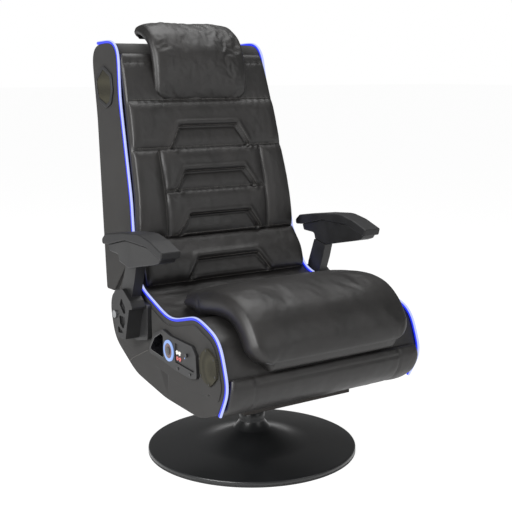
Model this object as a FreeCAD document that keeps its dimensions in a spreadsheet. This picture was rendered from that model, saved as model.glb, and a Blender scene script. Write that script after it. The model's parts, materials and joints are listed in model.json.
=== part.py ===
import FreeCAD, Part
import math
import os
import re

# A gaming chair on a round pedestal. Millimetres, +Z up, the front towards -Y.
# The origin is on the floor, on the axis that the chair swivels about.
# The sitter's right is -X, where the control panel is.

V = FreeCAD.Vector

SIZES = {
    # Pedestal, a spun steel trumpet
    "base_radius": 255.0,
    "base_wall": 2.0,
    "rim_height": 9.0,
    "flare_radius": 120.0,
    "flare_height": 21.0,
    "neck_height": 58.0,
    "stem_radius": 31.0,
    "stem_top": 108.0,
    "floor_ring_width": 9.0,
    "floor_ring_height": 4.0,
    "column_foot": 24.0,
    "column_wall": 8.0,
    "bush_flange": 2.0,
    "spindle_radius": 14.0,
    "spindle_foot": 12.0,
    "collar_radius": 19.0,
    "collar_height": 8.0,
    # Tilt mechanism between the pedestal and the seat
    "housing_half_width": 33.0,
    "housing_front": -62.0,
    "housing_rear": 84.0,
    "housing_wall": 3.0,
    "housing_floor": 4.0,
    "tilt_axis_y": -38.0,
    "tilt_axis_z": 141.0,
    "tilt_axle_radius": 7.0,
    "torsion_rubber_radius": 15.0,
    "tilt_plate_top": 163.0,
    "tilt_plate_wall": 4.0,
    "tilt_plate_half_width": 60.0,
    "tilt_plate_front": -71.0,
    "tilt_plate_rear": 96.0,
    "tilt_flange_bottom": 124.0,
    "seat_board_half_width": 150.0,
    "seat_board_front": -190.0,
    "seat_board_rear": 128.0,
    "bolt_radius": 4.0,
    "bolt_head_radius": 7.5,
    "bolt_head_height": 5.0,
    "bolt_spacing_x": 96.0,
    "bolt_spacing_y": 126.0,
    "bolt_depth": 14.0,
    # Seat, which widens towards the front from the fold
    "seat_half_width": 243.0,
    "seat_splay_deg": 3.6,
    "side_panel": 5.0,
    "seat_bottom": 178.0,
    "side_trim": 3.0,
    "trim_inset": 11.0,
    "cushion_half_width": 219.0,
    "apron_half_width": 260.0,
    "light_radius": 4.0,
    # Back, which narrows towards the top
    "back_half_width": 221.5,
    "back_width_height": 840.0,
    "back_taper_deg": 3.03,
    "rear_cover": 4.0,
    "cover_margin": 12.0,
    "woofer_radius": 78.0,
    "woofer_height": 640.0,
    "woofer_depth": 48.0,
    # Fold between the seat and the back
    "fold_axis_y": 152.0,
    "fold_axis_z": 489.0,
    "fold_split_deg": 51.0,
    "seat_split": 138.0,
    "back_split": 140.0,
    "hinge_leaf": 2.0,
    "hinge_leaf_length": 70.0,
    "hinge_leaf_half_width": 34.0,
    "hinge_knuckle_radius": 6.5,
    "hinge_knuckle_half": 12.0,
    "hinge_pin_radius": 3.0,
    "hinge_spacing": 290.0,
    # Speakers
    "seat_speaker_y": -238.0,
    "seat_speaker_z": 306.0,
    "seat_speaker_radius": 40.0,
    "speaker_cone_radius": 31.0,
    "speaker_depth": 38.0,
    "speaker_rim": 6.0,
    "back_speaker_y": 318.0,
    "back_speaker_z": 879.0,
    "back_speaker_rim": 5.0,
    # Control panel in the sitter's right side
    "panel_thickness": 8.0,
    "dial_y": -63.0,
    "dial_z": 302.0,
    "dial_radius": 17.0,
    "dial_length": 13.0,
    "dial_button_radius": 10.0,
    "dial_button_travel": 1.5,
    "light_ring_radius": 24.0,
    "tray_depth": 24.0,
    "tray_wall": 2.0,
    "jack_radius": 4.5,
    "power_button_y": -145.0,
    "power_button_z": 310.0,
    "power_button_radius": 4.0,
    "power_button_travel": 1.5,
    "panel_screw_radius": 3.2,
    # Arms
    "arm_pivot_y": 133.0,
    "arm_pivot_z": 352.0,
    "arm_pivot_radius": 6.0,
    "arm_pivot_head": 9.0,
    "arm_bolt_depth": 24.0,
    "arm_mount_face": 262.0,
    "arm_lobe_outer": 298.0,
    "arm_post_outer": 287.0,
    "arm_body_inner": 264.0,
    "arm_body_outer": 306.0,
    "arm_pad_inner": 260.7,
    "arm_pad_outer": 309.6,
    "truss_depth": 6.0,
    # Headrest pillow
    "pillow_half_width": 128.0,
    "pillow_base": 254.0,
    # Gaps
    "running_gap": 0.05,
    "body_gap": 0.3,
}

doc = FreeCAD.newDocument("gaming_chair")
sheet = doc.addObject("Spreadsheet::Sheet", "sizes")
for row, (name, value) in enumerate(SIZES.items(), start=1):
    sheet.set(f"A{row}", name)
    sheet.set(f"B{row}", str(value))
    sheet.setAlias(f"B{row}", name)
doc.recompute()


class Sheet:
    """The sizes as they stand in the spreadsheet."""

    def __getattr__(self, name):
        return float(sheet.get(name))


size = Sheet()
kept = []

# Outlines in the side view: corners (y, z, radius of the round), from the front upwards.
split = math.radians(size.fold_split_deg)
split_run = V(math.cos(split), -math.sin(split), 0)
split_up = V(math.sin(split), math.cos(split), 0)
leaf_room = size.hinge_leaf + size.body_gap / 2
fold = V(size.fold_axis_y, size.fold_axis_z, 0)
seat_tip = fold - split_up * leaf_room
seat_heel = seat_tip + split_run * size.seat_split
back_tip = fold + split_up * leaf_room
back_heel = back_tip + split_run * size.back_split

SEAT_FRONT = [
    (-266, 208, 18),
    (-300, 270, 42),
    (-266, 367, 62),
    (-170, 394, 70),
    (-44, 360, 150),
    (112, 410, 60),
]
SEAT_OUTLINE = SEAT_FRONT + [
    (seat_tip.x, seat_tip.y, 4),
    (seat_heel.x, seat_heel.y, 8),
    (276, 371, 22),
    (287, 335, 50),
    (264, 258, 70),
    (140, 198, 150),
    (-20, size.seat_bottom, 150),
    (-185, size.seat_bottom, 80),
]
BACK_FRONT = [
    (176, 612, 300),
    (247, 850, 300),
    (266, 985, 48),
    (399, 979, 40),
]
BACK_OUTLINE = [(back_tip.x, back_tip.y, 4)] + BACK_FRONT + [
    (354, 800, 300),
    (281, 381, 8),
    (back_heel.x, back_heel.y, 8),
]
BACK_LIGHT_END = (379, 900, 0)
COVER_START = 0.035
COVER_END = 0.48
REACH = 600.0
FLANK_OUTLINE = [(-REACH, 0, 0), (REACH, 0, 0), (REACH, REACH, 0), (-REACH, REACH, 0)]
BACK_SPEAKER_FRAME = 9.0
LIGHT_LIFT = 0.2
TRIM_REAR = (38, 387)
TRIM_BOTTOM = [
    (-272, 238, 10),
    (-234, 246, 3),
    (-226, 240, 3),
    (-124, 229, 60),
    (-64, 232, 3),
    (-55, 237, 3),
    (27, 243, 30),
    (63, 254, 10),
    (64, 272, 6),
    (40, 292, 6),
]


def bind(thing, **settings):
    """Ties a thing's properties to the sheet, by expressions in the sizes' names."""
    for name, text in settings.items():
        linked = re.sub(r"[a-z_]+", lambda word: "sizes." + word.group()
                        if word.group() in SIZES else word.group(), text)
        thing.setExpression(name.replace("__", "."), linked)


def keep(thing, label):
    """Marks a finished sub-part, whose label names its file."""
    thing.Label = label
    kept.append(thing)
    return thing


def rounded(corners, closed=True):
    """Straight edges joined by tangent arcs, through corners (u, v, radius)."""
    points = [V(corner[0], corner[1], 0) for corner in corners]
    count = len(points)
    stops = []
    for i, point in enumerate(points):
        radius = corners[i][2]
        if radius == 0 or (not closed and i in (0, count - 1)):
            stops.append((point, None, point))
            continue
        before = points[i - 1] - point
        after = points[(i + 1) % count] - point
        room = 0.49 * min(before.Length, after.Length)
        before.normalize()
        after.normalize()
        half = before.getAngle(after) / 2
        reach = min(radius / math.tan(half), room)
        radius = reach * math.tan(half)
        inward = (before + after).normalize()
        middle = point + inward * (radius / math.sin(half) - radius)
        stops.append((point + before * reach, middle, point + after * reach))
    edges = []
    for i, (start, middle, end) in enumerate(stops):
        if middle:
            edges.append(Part.Arc(start, middle, end))
        if closed or i < count - 1:
            following = stops[(i + 1) % count][0]
            if (following - end).Length > 1e-5:
                edges.append(Part.LineSegment(end, following))
    return edges


def offset(corners, distance):
    """An open run of corners moved to its left by a distance, with its rounds grown to match."""
    points = [V(corner[0], corner[1], 0) for corner in corners]
    moved = []
    for i, point in enumerate(points):
        sides = []
        if i > 0:
            sides.append((point - points[i - 1]).normalize())
        if i < len(points) - 1:
            sides.append((points[i + 1] - point).normalize())
        left = V(0, 0, 0)
        for side in sides:
            left += V(-side.y, side.x, 0)
        left.normalize()
        lean = V(-sides[0].y, sides[0].x, 0).dot(left)
        place = point + left * (distance / lean)
        turn = sides[0].cross(sides[-1]).z
        radius = corners[i][2] - math.copysign(distance, turn) if corners[i][2] else 0
        moved.append((place.x, place.y, max(radius, 0)))
    return moved


def outward_of(side):
    """The axis that points out of the chair on a side."""
    return "x" if side > 0 else "-x"


def origin_plane(body, role):
    return next(plane for plane in body.Origin.OriginFeatures if plane.Role == role)


def sketch_on(body, role, curves):
    sketch = body.newObject("Sketcher::SketchObject", "Outline")
    sketch.AttachmentSupport = [(origin_plane(body, role), "")]
    sketch.MapMode = "FlatFace"
    sketch.addGeometry(curves, False)
    return sketch


def plate(name, corners, low, high):
    """A flat piece with its outline in the side view, between two places along X."""
    body = doc.addObject("PartDesign::Body", name)
    sketch = sketch_on(body, "YZ_Plane", rounded(corners))
    bind(sketch, AttachmentOffset__Base__z=low)
    pad = body.newObject("PartDesign::Pad", "Thickness")
    pad.Profile = sketch
    bind(pad, Length=f"({high}) - ({low})")
    return body


def side_plate(name, corners, inner, outer, side):
    """A plate on one side of the chair: side is 1 on the left, -1 on the right."""
    if side > 0:
        return plate(name, corners, inner, outer)
    return plate(name, corners, f"-({outer})", f"-({inner})")


def turned(name, corners):
    """A ring or shaft about the Z axis, from its corners (radius, z, round)."""
    body = doc.addObject("PartDesign::Body", name)
    sketch = sketch_on(body, "XZ_Plane", rounded(corners))
    spin = body.newObject("PartDesign::Revolution", "Spin")
    spin.Profile = sketch
    spin.ReferenceAxis = (sketch, ["V_Axis"])
    spin.Angle = 360
    return body


AXES = {
    "x": FreeCAD.Rotation(V(0, 0, 1), V(1, 0, 0)),
    "-x": FreeCAD.Rotation(V(0, 0, 1), V(-1, 0, 0)),
    "z": FreeCAD.Rotation(),
}


def rod(name, radius, length, axis, x="0", y="0", z="0"):
    """A round bar from (x, y, z) along an axis."""
    bar = doc.addObject("Part::Cylinder", name)
    bar.Placement.Rotation = AXES[axis]
    bind(bar, Radius=radius, Height=length)
    bind(bar, Placement__Base__x=x, Placement__Base__y=y, Placement__Base__z=z)
    return bar


def box(name, x, y, z):
    """A block between (low, high) pairs along each axis."""
    block = doc.addObject("Part::Box", name)
    for letter, edge, (low, high) in zip("xyz", ("Length", "Width", "Height"), (x, y, z)):
        bind(block, **{edge: f"({high}) - ({low})", f"Placement__Base__{letter}": low})
    return block


def cut(name, base, *tools):
    result = doc.addObject("Part::Cut", name)
    result.Base = base
    result.Tool = tools[0] if len(tools) == 1 else join(name + "_tools", *tools)
    return result


def join(name, *pieces):
    result = doc.addObject("Part::MultiFuse", name)
    result.Shapes = list(pieces)
    return result


def common(name, *pieces):
    result = doc.addObject("Part::MultiCommon", name)
    result.Shapes = list(pieces)
    return result


def group(name, pieces):
    """Identical loose pieces that share one name."""
    doc.recompute()
    holder = doc.addObject("Part::Feature", name)
    holder.Shape = Part.makeCompound([piece.Shape for piece in pieces])
    return holder


def tube(name, corners, x, radius):
    """A round tube along straight runs and tangent arcs in the side view."""
    spread = FreeCAD.Placement(V(x, 0, 0), FreeCAD.Rotation(V(1, 1, 1), 120))
    edges = [curve.toShape() for curve in rounded(corners, closed=False)]
    path = Part.Wire(edges)
    path.transformShape(spread.toMatrix())
    start = path.Vertexes[0].Point
    heading = spread.Rotation.multVec(V(corners[1][0] - corners[0][0], corners[1][1] - corners[0][1], 0))
    ring = Part.Wire(Part.makeCircle(radius, start, heading))
    piece = doc.addObject("Part::Feature", name)
    piece.Shape = path.makePipeShell([ring], True, False)
    return piece


def crowned(name, stations):
    """A padded strip: each station is (y, z, lean, half width, edge height, crown height).

    The lean turns the strip's outward side from straight up, towards the front, in degrees.
    """
    sections = []
    for y, z, lean, half, edge, crown in stations:
        angle = math.radians(lean)
        out = V(0, -math.sin(angle), math.cos(angle))
        foot = V(0, y, z)
        right = foot - V(half, 0, 0)
        left = foot + V(half, 0, 0)
        shoulder = 0.93
        brow = edge + (crown - edge) * 0.35
        top_right = foot - V(half * shoulder, 0, 0) + out * brow
        top_left = foot + V(half * shoulder, 0, 0) + out * brow
        side_right = right + out * (edge * 0.5)
        side_left = left + out * (edge * 0.5)
        sections.append(Part.Wire([
            Part.LineSegment(left, right).toShape(),
            Part.LineSegment(right, side_right).toShape(),
            Part.LineSegment(side_right, top_right).toShape(),
            Part.Arc(top_right, foot + out * crown, top_left).toShape(),
            Part.LineSegment(top_left, side_left).toShape(),
            Part.LineSegment(side_left, left).toShape(),
        ]))
    piece = doc.addObject("Part::Feature", name)
    piece.Shape = Part.makeLoft(sections, True, True)
    return piece


def knuckle_room(name):
    """The space along the split that the hinge knuckles turn in."""
    return rod(name, "hinge_knuckle_radius + 1", "2 * back_half_width", "x",
               x="-back_half_width", y="fold_axis_y", z="fold_axis_z")


def back_half_width(z):
    """Half the back's width over its side panels at a height."""
    slope = math.tan(math.radians(size.back_taper_deg))
    return size.back_half_width + (size.back_width_height - z) * slope


def lean_in(side):
    """Where a side piece of the back, drawn upright at the back's half width, takes its taper."""
    turn = FreeCAD.Rotation(V(0, 1, 0), -side * size.back_taper_deg)
    pivot = V(side * size.back_half_width, 0, size.back_width_height)
    return FreeCAD.Placement(pivot - turn.multVec(pivot), turn)


def splay(side):
    """Where a side piece of the seat, drawn square to the fold, takes its turn outwards to the front."""
    turn = FreeCAD.Rotation(V(0, 0, 1), side * size.seat_splay_deg)
    pivot = V(side * size.seat_half_width, size.fold_axis_y, 0)
    return FreeCAD.Placement(pivot - turn.multVec(pivot), turn)


def placed(piece, place):
    """A piece, drawn square to the chair, moved to a leaning side."""
    holder = doc.addObject("Part::Compound", piece.Name + "_placed")
    holder.Links = [piece]
    holder.Placement = place
    return holder


def between(name, place, half, low, high, depth):
    """A block between the two sides: its half width as drawn, its two ends and its depth."""
    corners = [place(side).multVec(V(side * half, 0, 0) + end)
               for side, end in ((-1, low), (1, low), (1, high), (-1, high))]
    block = doc.addObject("Part::Feature", name)
    block.Shape = Part.Face(Part.makePolygon(corners + corners[:1])).extrude(depth)
    return block


def pedestal():
    """The floor body: trumpet, floor ring, column and the bush that the spindle turns in."""
    rim = size.base_radius
    under = size.floor_ring_height
    wall = size.base_wall
    trumpet = turned("trumpet", [
        (rim, under, 0),
        (rim, under + size.rim_height, 5),
        (size.flare_radius, size.flare_height, 300),
        (size.stem_radius, size.neck_height, 60),
        (size.stem_radius, size.stem_top, 0),
        (size.stem_radius - wall, size.stem_top, 0),
        (size.stem_radius - wall, size.neck_height - wall, 60),
        (size.flare_radius, size.flare_height - wall, 300),
        (rim - wall, under + size.rim_height - wall, 4),
        (rim - wall, under, 0),
    ])
    keep(trumpet, "base_trumpet")
    ring = cut("ring", rod("ring_outer", "base_radius", "floor_ring_height", "z"),
               rod("ring_inner", "base_radius - floor_ring_width", "floor_ring_height", "z"))
    keep(ring, "base_floor_ring")
    bore = "stem_radius - base_wall - running_gap - column_wall"
    column = cut("column", rod("column_outer", "stem_radius - base_wall - running_gap",
                               "stem_top - column_foot", "z", z="column_foot"),
                 rod("column_bore", bore, "stem_top - column_foot", "z", z="column_foot"))
    keep(column, "pedestal_column")
    bush = cut("bush", join("bush_solid", rod("bush_sleeve", bore, "stem_top - column_foot", "z", z="column_foot"),
                            rod("bush_flange", "stem_radius - base_wall", "bush_flange", "z", z="stem_top")),
               rod("bush_bore", "spindle_radius + running_gap", "stem_top", "z", z="column_foot"))
    keep(bush, "swivel_bush")


def tilt_mechanism():
    """What turns on the pedestal, and carries the axle that the seat rocks on."""
    top = "stem_top + bush_flange + body_gap"
    spindle = join("spindle_solid", rod("spindle_bar", "spindle_radius", f"({top}) - spindle_foot", "z", z="spindle_foot"),
                   rod("spindle_collar", "collar_radius", "collar_height", "z",
                       z="column_foot - body_gap - collar_height"))
    keep(spindle, "swivel_spindle")
    floor = size.stem_top + size.bush_flange + size.body_gap
    crest = size.tilt_axis_z + size.tilt_axle_radius + 5
    outline = [
        (size.housing_front, floor, 8),
        (size.housing_front, crest, 10),
        (size.tilt_axis_y + 16, crest, 14),
        (size.housing_rear, floor + 14, 8),
        (size.housing_rear, floor, 6),
    ]
    shell = plate("housing_block", outline, "-housing_half_width", "housing_half_width")
    inside = box("housing_inside", ("-(housing_half_width - housing_wall)", "housing_half_width - housing_wall"),
                 ("housing_front - 10", "housing_rear + 10"), (f"{top} + housing_floor", f"{top} + 80"))
    hole = rod("housing_hole", "tilt_axle_radius + running_gap", "4 * housing_half_width", "x",
               x="-2 * housing_half_width", y="tilt_axis_y", z="tilt_axis_z")
    keep(cut("housing", shell, inside, hole), "tilt_housing")
    flange_out = "housing_half_width + body_gap + tilt_plate_wall"
    axle = rod("axle", "tilt_axle_radius", f"2 * ({flange_out} + 3)", "x",
               x=f"-({flange_out} + 3)", y="tilt_axis_y", z="tilt_axis_z")
    keep(axle, "tilt_axle")
    inner_half = "housing_half_width - housing_wall"
    rubber = cut("rubber", rod("rubber_outer", "torsion_rubber_radius", f"2 * ({inner_half})", "x",
                               x=f"-({inner_half})", y="tilt_axis_y", z="tilt_axis_z"),
                 rod("rubber_hole", "tilt_axle_radius + running_gap", f"2 * ({inner_half})", "x",
                     x=f"-({inner_half})", y="tilt_axis_y", z="tilt_axis_z"))
    keep(rubber, "tilt_torsion_rubber")
    stop_half = "housing_half_width - housing_wall - 4"
    stop = box("stop", (f"-({stop_half})", stop_half), ("housing_front + 3", "tilt_axis_y - torsion_rubber_radius - 1"),
               (f"{top} + housing_floor", "tilt_plate_top - tilt_plate_wall - body_gap"))
    keep(stop, "tilt_stop_bumper")
    return flange_out


def seat_carrier(flange_out):
    """The steel plate that rocks on the axle, and the board that it is bolted to."""
    flange_in = "housing_half_width + body_gap"
    deck = box("tilt_deck", ("-tilt_plate_half_width", "tilt_plate_half_width"),
               ("tilt_plate_front", "tilt_plate_rear"), ("tilt_plate_top - tilt_plate_wall", "tilt_plate_top"))
    outline = [
        (size.tilt_plate_front, size.tilt_flange_bottom, 10),
        (size.tilt_plate_front, size.tilt_plate_top - size.tilt_plate_wall, 0),
        (size.tilt_axis_y + 40, size.tilt_plate_top - size.tilt_plate_wall, 0),
        (size.tilt_axis_y + 16, size.tilt_flange_bottom, 14),
    ]
    flanges = [side_plate(f"tilt_flange_{side}", outline, flange_in, flange_out, side) for side in (1, -1)]
    front = box("tilt_front", (f"-({flange_out})", flange_out), ("tilt_plate_front", "tilt_plate_front + tilt_plate_wall"),
                ("tilt_flange_bottom + 4", "tilt_plate_top - tilt_plate_wall"))
    axle_hole = rod("tilt_plate_hole", "tilt_axle_radius + running_gap", "4 * housing_half_width", "x",
                    x="-2 * housing_half_width", y="tilt_axis_y", z="tilt_axis_z")
    bolts, shanks = [], []
    middle = "(tilt_plate_front + tilt_plate_rear) / 2"
    for i, (across, along) in enumerate(((1, 1), (1, -1), (-1, 1), (-1, -1))):
        place = {"x": f"{across} * bolt_spacing_x / 2", "y": f"{middle} + {along} * bolt_spacing_y / 2"}
        under = "tilt_plate_top - tilt_plate_wall"
        shank = rod(f"bolt_shank_{i}", "bolt_radius", "tilt_plate_wall + bolt_depth", "z", z=under, **place)
        head = rod(f"bolt_head_{i}", "bolt_head_radius", "bolt_head_height", "z",
                   z=f"{under} - bolt_head_height", **place)
        bolts.append(join(f"bolt_{i}", shank, head))
        shanks.append(rod(f"bolt_hole_{i}", "bolt_radius + running_gap", "tilt_plate_wall + bolt_depth", "z",
                          z=under, **place))
    keep(cut("tilt_plate", join("tilt_plate_solid", deck, front, *flanges), axle_hole, *shanks), "tilt_top_plate")
    keep(group("bolts", bolts), "tilt_plate_bolts")
    return shanks


def seat(shanks):
    """The padded seat body with its board, side panels, trims and lights."""
    slab = plate("seat_slab", SEAT_OUTLINE, "-2 * seat_half_width", "2 * seat_half_width")
    view = between("seat_top_view", splay, size.seat_half_width - size.side_panel,
                   V(0, -REACH, 0), V(0, REACH, 0), V(0, 0, REACH))
    core = common("seat_core", slab, view)
    board = box("board_block", ("-seat_board_half_width", "seat_board_half_width"),
                ("seat_board_front", "seat_board_rear"), ("tilt_plate_top", "seat_bottom + 40"))
    keep(cut("board", board, core, *shanks), "seat_board")
    inner = "seat_half_width - side_panel"
    room = placed(plate("tray_room", TRAY_OUTLINE, "-2 * seat_half_width", f"-({inner}) + tray_depth"), splay(-1))
    cavities = [knuckle_room("seat_core_knuckles"), room]
    for side, word in ((1, "left"), (-1, "right")):
        outward, inward = outward_of(side), outward_of(-side)
        speaker = rod(f"seat_speaker_cavity_{word}", "speaker_cone_radius + 3", "speaker_depth + 6", inward,
                      x=f"{side} * ({inner})", y="seat_speaker_y", z="seat_speaker_z")
        bolt = rod(f"arm_bolt_cavity_{word}", "arm_pivot_radius + running_gap", "2 * arm_bolt_depth", inward,
                   x=f"{side} * (arm_mount_face - arm_pivot_head)", y="arm_pivot_y", z="arm_pivot_z")
        cavities += [placed(speaker, splay(side)), bolt]

        panel = side_plate(f"seat_panel_{word}", SEAT_OUTLINE, inner, "seat_half_width", side)
        rear = (TRIM_REAR[0], TRIM_REAR[1], 0)
        trim_top = offset([rear] + SEAT_FRONT[-2::-1], size.trim_inset)
        trim = side_plate(f"seat_trim_{word}", trim_top[:-1] + TRIM_BOTTOM, "seat_half_width",
                          "seat_half_width + side_trim", side)
        hole = rod(f"seat_panel_speaker_{word}", "speaker_cone_radius + 3", "4 * side_panel", outward,
                   x=f"{side} * (seat_half_width - 2 * side_panel)", y="seat_speaker_y", z="seat_speaker_z")
        openings = [hole]
        if side < 0:
            openings.append(plate("panel_tray_room", TRAY_OUTLINE, "-2 * seat_half_width", "-seat_half_width / 2"))
        leaning = placed(cut(f"seat_panel_open_{word}", panel, *openings), splay(side))
        keep(cut(f"seat_panel_bored_{word}", leaning, bolt), f"seat_side_{word}")
        keep(placed(cut(f"trim_open_{word}", trim, *openings), splay(side)), f"side_trim_{word}")
        light_path = offset(SEAT_FRONT + [(seat_tip.x, seat_tip.y, 0)], size.light_radius + LIGHT_LIFT)
        light = tube(f"seat_light_drawn_{word}", shorten(light_path, 12, 16),
                     side * (size.seat_half_width - size.light_radius), size.light_radius)
        keep(placed(light, splay(side)), f"seat_light_{word}")
    keep(cut("seat_block", core, *cavities), "seat_body")
    return core


def shorten(corners, first, last):
    """An open run of corners with its first and last stretch cut back."""
    points = [V(corner[0], corner[1], 0) for corner in corners]
    head = points[0] + (points[1] - points[0]).normalize() * first
    tail = points[-1] + (points[-2] - points[-1]).normalize() * last
    return [(head.x, head.y, 0)] + corners[1:-1] + [(tail.x, tail.y, 0)]


def seat_padding(core):
    """The thick cushion that hangs over the front, the apron under it and the lumbar pad."""
    half = size.cushion_half_width
    stations = [
        (6, 375, 0, half * 0.87, 18, 28),
        (-8, 372, 0, half * 0.91, 27, 39),
        (-50, 360, 0, half * 0.96, 48, 66),
        (-110, 368, 0, half, 54, 72),
        (-165, 386, 6, half, 48, 62),
        (-212, 384, 20, half, 51, 63),
        (-250, 364, 40, half, 51, 61),
        (-276, 334, 60, half, 45, 54),
        (-287, 308, 76, half * 0.96, 40, 48),
        (-290, 293, 88, half * 0.94, 28, 38),
        (-290, 288, 90, half * 0.92, 16, 24),
    ]
    keep(cut("cushion", crowned("cushion_loft", stations), core), "seat_cushion")
    wide = size.apron_half_width
    stations = [
        (-286, 287.6, 90, wide * 0.98, 12, 18),
        (-286, 264, 92, wide, 20, 28),
        (-278, 240, 100, wide * 0.99, 22, 30),
        (-262, 224, 118, wide * 0.98, 18, 25),
        (-244, 213, 138, wide * 0.97, 14, 19),
        (-226, 205, 152, wide * 0.95, 12, 15),
    ]
    keep(cut("apron", crowned("apron_loft", stations), core), "front_apron")
    half = back_half_width(size.fold_axis_z) - 2 * size.light_radius - 1.5
    stations = [
        (154, 507, 76, half - 2, 10, 14),
        (153, 498, 74, half, 18, 25),
        (150, 480, 60, half, 27, 36),
        (138, 458, 55, half, 30, 40),
        (122, 436, 55, half, 26, 34),
        (108, 418, 52, half, 18, 22),
        (102, 410, 50, half - 4, 10, 12),
    ]
    keep(cut("lumbar", crowned("lumbar_loft", stations), core, knuckle_room("lumbar_knuckles")), "lumbar_pad")


def back():
    """The padded back with its side panels and lights."""
    slab = plate("back_slab", BACK_OUTLINE, "-2 * back_half_width", "2 * back_half_width")
    view = between("back_front_view", lean_in, size.back_half_width - size.side_panel,
                   V(0, 0, 0), V(0, 0, 2 * REACH), V(0, REACH, 0))
    padded = common("back_core", slab, view)
    tools = [knuckle_room("back_core_knuckles"),
             woofer_disc("woofer_cavity", size.woofer_radius - 8, -size.woofer_depth - 10, 20)]
    for side, word in ((1, "left"), (-1, "right")):
        cavity = rod(f"back_speaker_cavity_{word}", "speaker_cone_radius + 3", "speaker_depth", outward_of(-side),
                     x=f"{side} * back_half_width", y="back_speaker_y", z="back_speaker_z")
        tools.append(placed(cavity, lean_in(side)))
        panel = side_plate(f"back_panel_{word}", BACK_OUTLINE, "back_half_width - side_panel", "back_half_width", side)
        hole = rod(f"back_panel_speaker_{word}", "speaker_cone_radius + 3", "4 * side_panel", outward_of(side),
                   x=f"{side} * (back_half_width - 2 * side_panel)", y="back_speaker_y", z="back_speaker_z")
        keep(placed(cut(f"back_panel_open_{word}", panel, hole), lean_in(side)), f"back_side_{word}")
        path = offset([(back_tip.x, back_tip.y, 0)] + BACK_FRONT + [BACK_LIGHT_END], size.light_radius + LIGHT_LIFT)
        light = tube(f"back_light_drawn_{word}", shorten(path, 18, 0), side * (size.back_half_width - size.light_radius),
                     size.light_radius)
        keep(placed(light, lean_in(side)), f"back_light_{word}")
    keep(cut("back_block", padded, *tools), "back_body")
    return padded


def woofer_disc(name, radius, low, high):
    """A disc square to the rear of the back, between two distances out from it."""
    rear_low = V(0, BACK_OUTLINE[-2][0], BACK_OUTLINE[-2][1])
    rear_high = V(0, BACK_OUTLINE[-3][0], BACK_OUTLINE[-3][1])
    up = (rear_high - rear_low).normalize()
    out = V(0, up.z, -up.y)
    middle = rear_low + up * ((size.woofer_height - rear_low.z) / up.z)
    disc = doc.addObject("Part::Feature", name)
    disc.Shape = Part.makeCylinder(radius, high - low, middle + out * low, out)
    return disc


def back_padding(padded):
    """The back's cushion, sewn into channels, and the headrest pillow that hangs over the top."""
    def station(along, thickness, narrower=0.0):
        front_low = V(0, back_tip.x, back_tip.y)
        bend = V(0, BACK_FRONT[0][0], BACK_FRONT[0][1])
        brow = V(0, BACK_FRONT[1][0], BACK_FRONT[1][1])
        start, end = (front_low, bend) if along < bend.z else (bend, brow)
        place = start + (end - start) * ((along - start.z) / (end.z - start.z))
        half = back_half_width(along) - 2 * size.light_radius - 1.5 - narrower
        return (place.y + 6, along, 77, half, 6 + thickness * 0.55, 6 + thickness)

    seams = [513, 612, 728, 842, 935]
    stations = []
    for low, high in zip(seams, seams[1:]):
        rise = high - low
        stations += [station(low, 18), station(low + 0.16 * rise, 29), station(low + 0.5 * rise, 33),
                     station(low + 0.84 * rise, 29)]
    stations += [station(seams[-1], 18), station(seams[-1] + 26, 8, 4)]
    cushion = keep(cut("back_cushion", crowned("back_cushion_loft", stations), padded), "back_cushion")

    half = size.pillow_half_width
    base = size.pillow_base
    stations = [
        (base, 838, 90, half - 14, 16, 22),
        (base, 848, 90, half - 5, 29, 40),
        (base, 882, 88, half, 31, 50),
        (base, 922, 86, half, 28, 48),
        (base + 4, 948, 80, half, 26, 44),
        (base + 12, 968, 62, half, 22, 38),
        (base + 26, 982, 28, half, 22, 34),
        (base + 46, 987, 8, half, 30, 37),
        (base + 62, 988, 0, half - 1, 33, 38),
    ]
    keep(cut("pillow", crowned("pillow_loft", stations), padded, cushion), "headrest_pillow")
    stations = [
        (base + 62.3, 988, 0, half - 3, 31, 36),
        (base + 74, 988, 0, half - 4, 30, 34),
        (base + 80, 987, -16, half - 8, 20, 24),
    ]
    keep(cut("flap", crowned("flap_loft", stations), padded, cushion), "headrest_flap")


def back_rear():
    """The rear cover, and the woofer that looks out through it."""
    low, bend, high = [V(corner[0], corner[1], 0) for corner in (BACK_OUTLINE[-2], BACK_OUTLINE[-3], BACK_OUTLINE[-4])]
    start = low + (bend - low) * COVER_START
    end = bend + (high - bend) * COVER_END
    run = [(start.x, start.y, 0), BACK_OUTLINE[-3], (end.x, end.y, 0)]
    skin = size.rear_cover
    outline = run + offset(run[::-1], skin)
    slab = plate("cover_slab", outline, "-2 * back_half_width", "2 * back_half_width")
    view = between("cover_view", lean_in, size.back_half_width - size.side_panel - size.cover_margin,
                   V(0, 0, 0), V(0, 0, 2 * REACH), V(0, REACH, 0))
    opening = woofer_disc("woofer_opening", size.woofer_radius - 8, -10, 20)
    keep(cut("cover", common("cover_sheet", slab, view), opening), "rear_cover")
    frame = cut("woofer_frame", woofer_disc("woofer_frame_disc", size.woofer_radius, skin, skin + 6),
                woofer_disc("woofer_frame_hole", size.woofer_radius - 10, skin - 1, skin + 7))
    keep(frame, "woofer_ring")
    keep(woofer_disc("woofer_mesh_disc", size.woofer_radius - 10, skin - 1, skin + 3), "woofer_mesh")
    driver = join("woofer_parts", woofer_disc("woofer_basket", size.woofer_radius - 8 - size.running_gap, -7, -1),
                  woofer_disc("woofer_cone", size.woofer_radius - 24, -36, -7),
                  woofer_disc("woofer_magnet", size.woofer_radius - 40, -size.woofer_depth, -36))
    keep(driver, "woofer_driver")


def leaf_outline(start, end, low, high):
    """A strip along the split between seat and back: distances from the fold axis, along it and up from it."""
    corners = []
    for along, up in ((start, low), (end, low), (end, high), (start, high)):
        place = fold + split_run * along + split_up * up
        corners.append((place.x, place.y, 0))
    return corners


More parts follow.
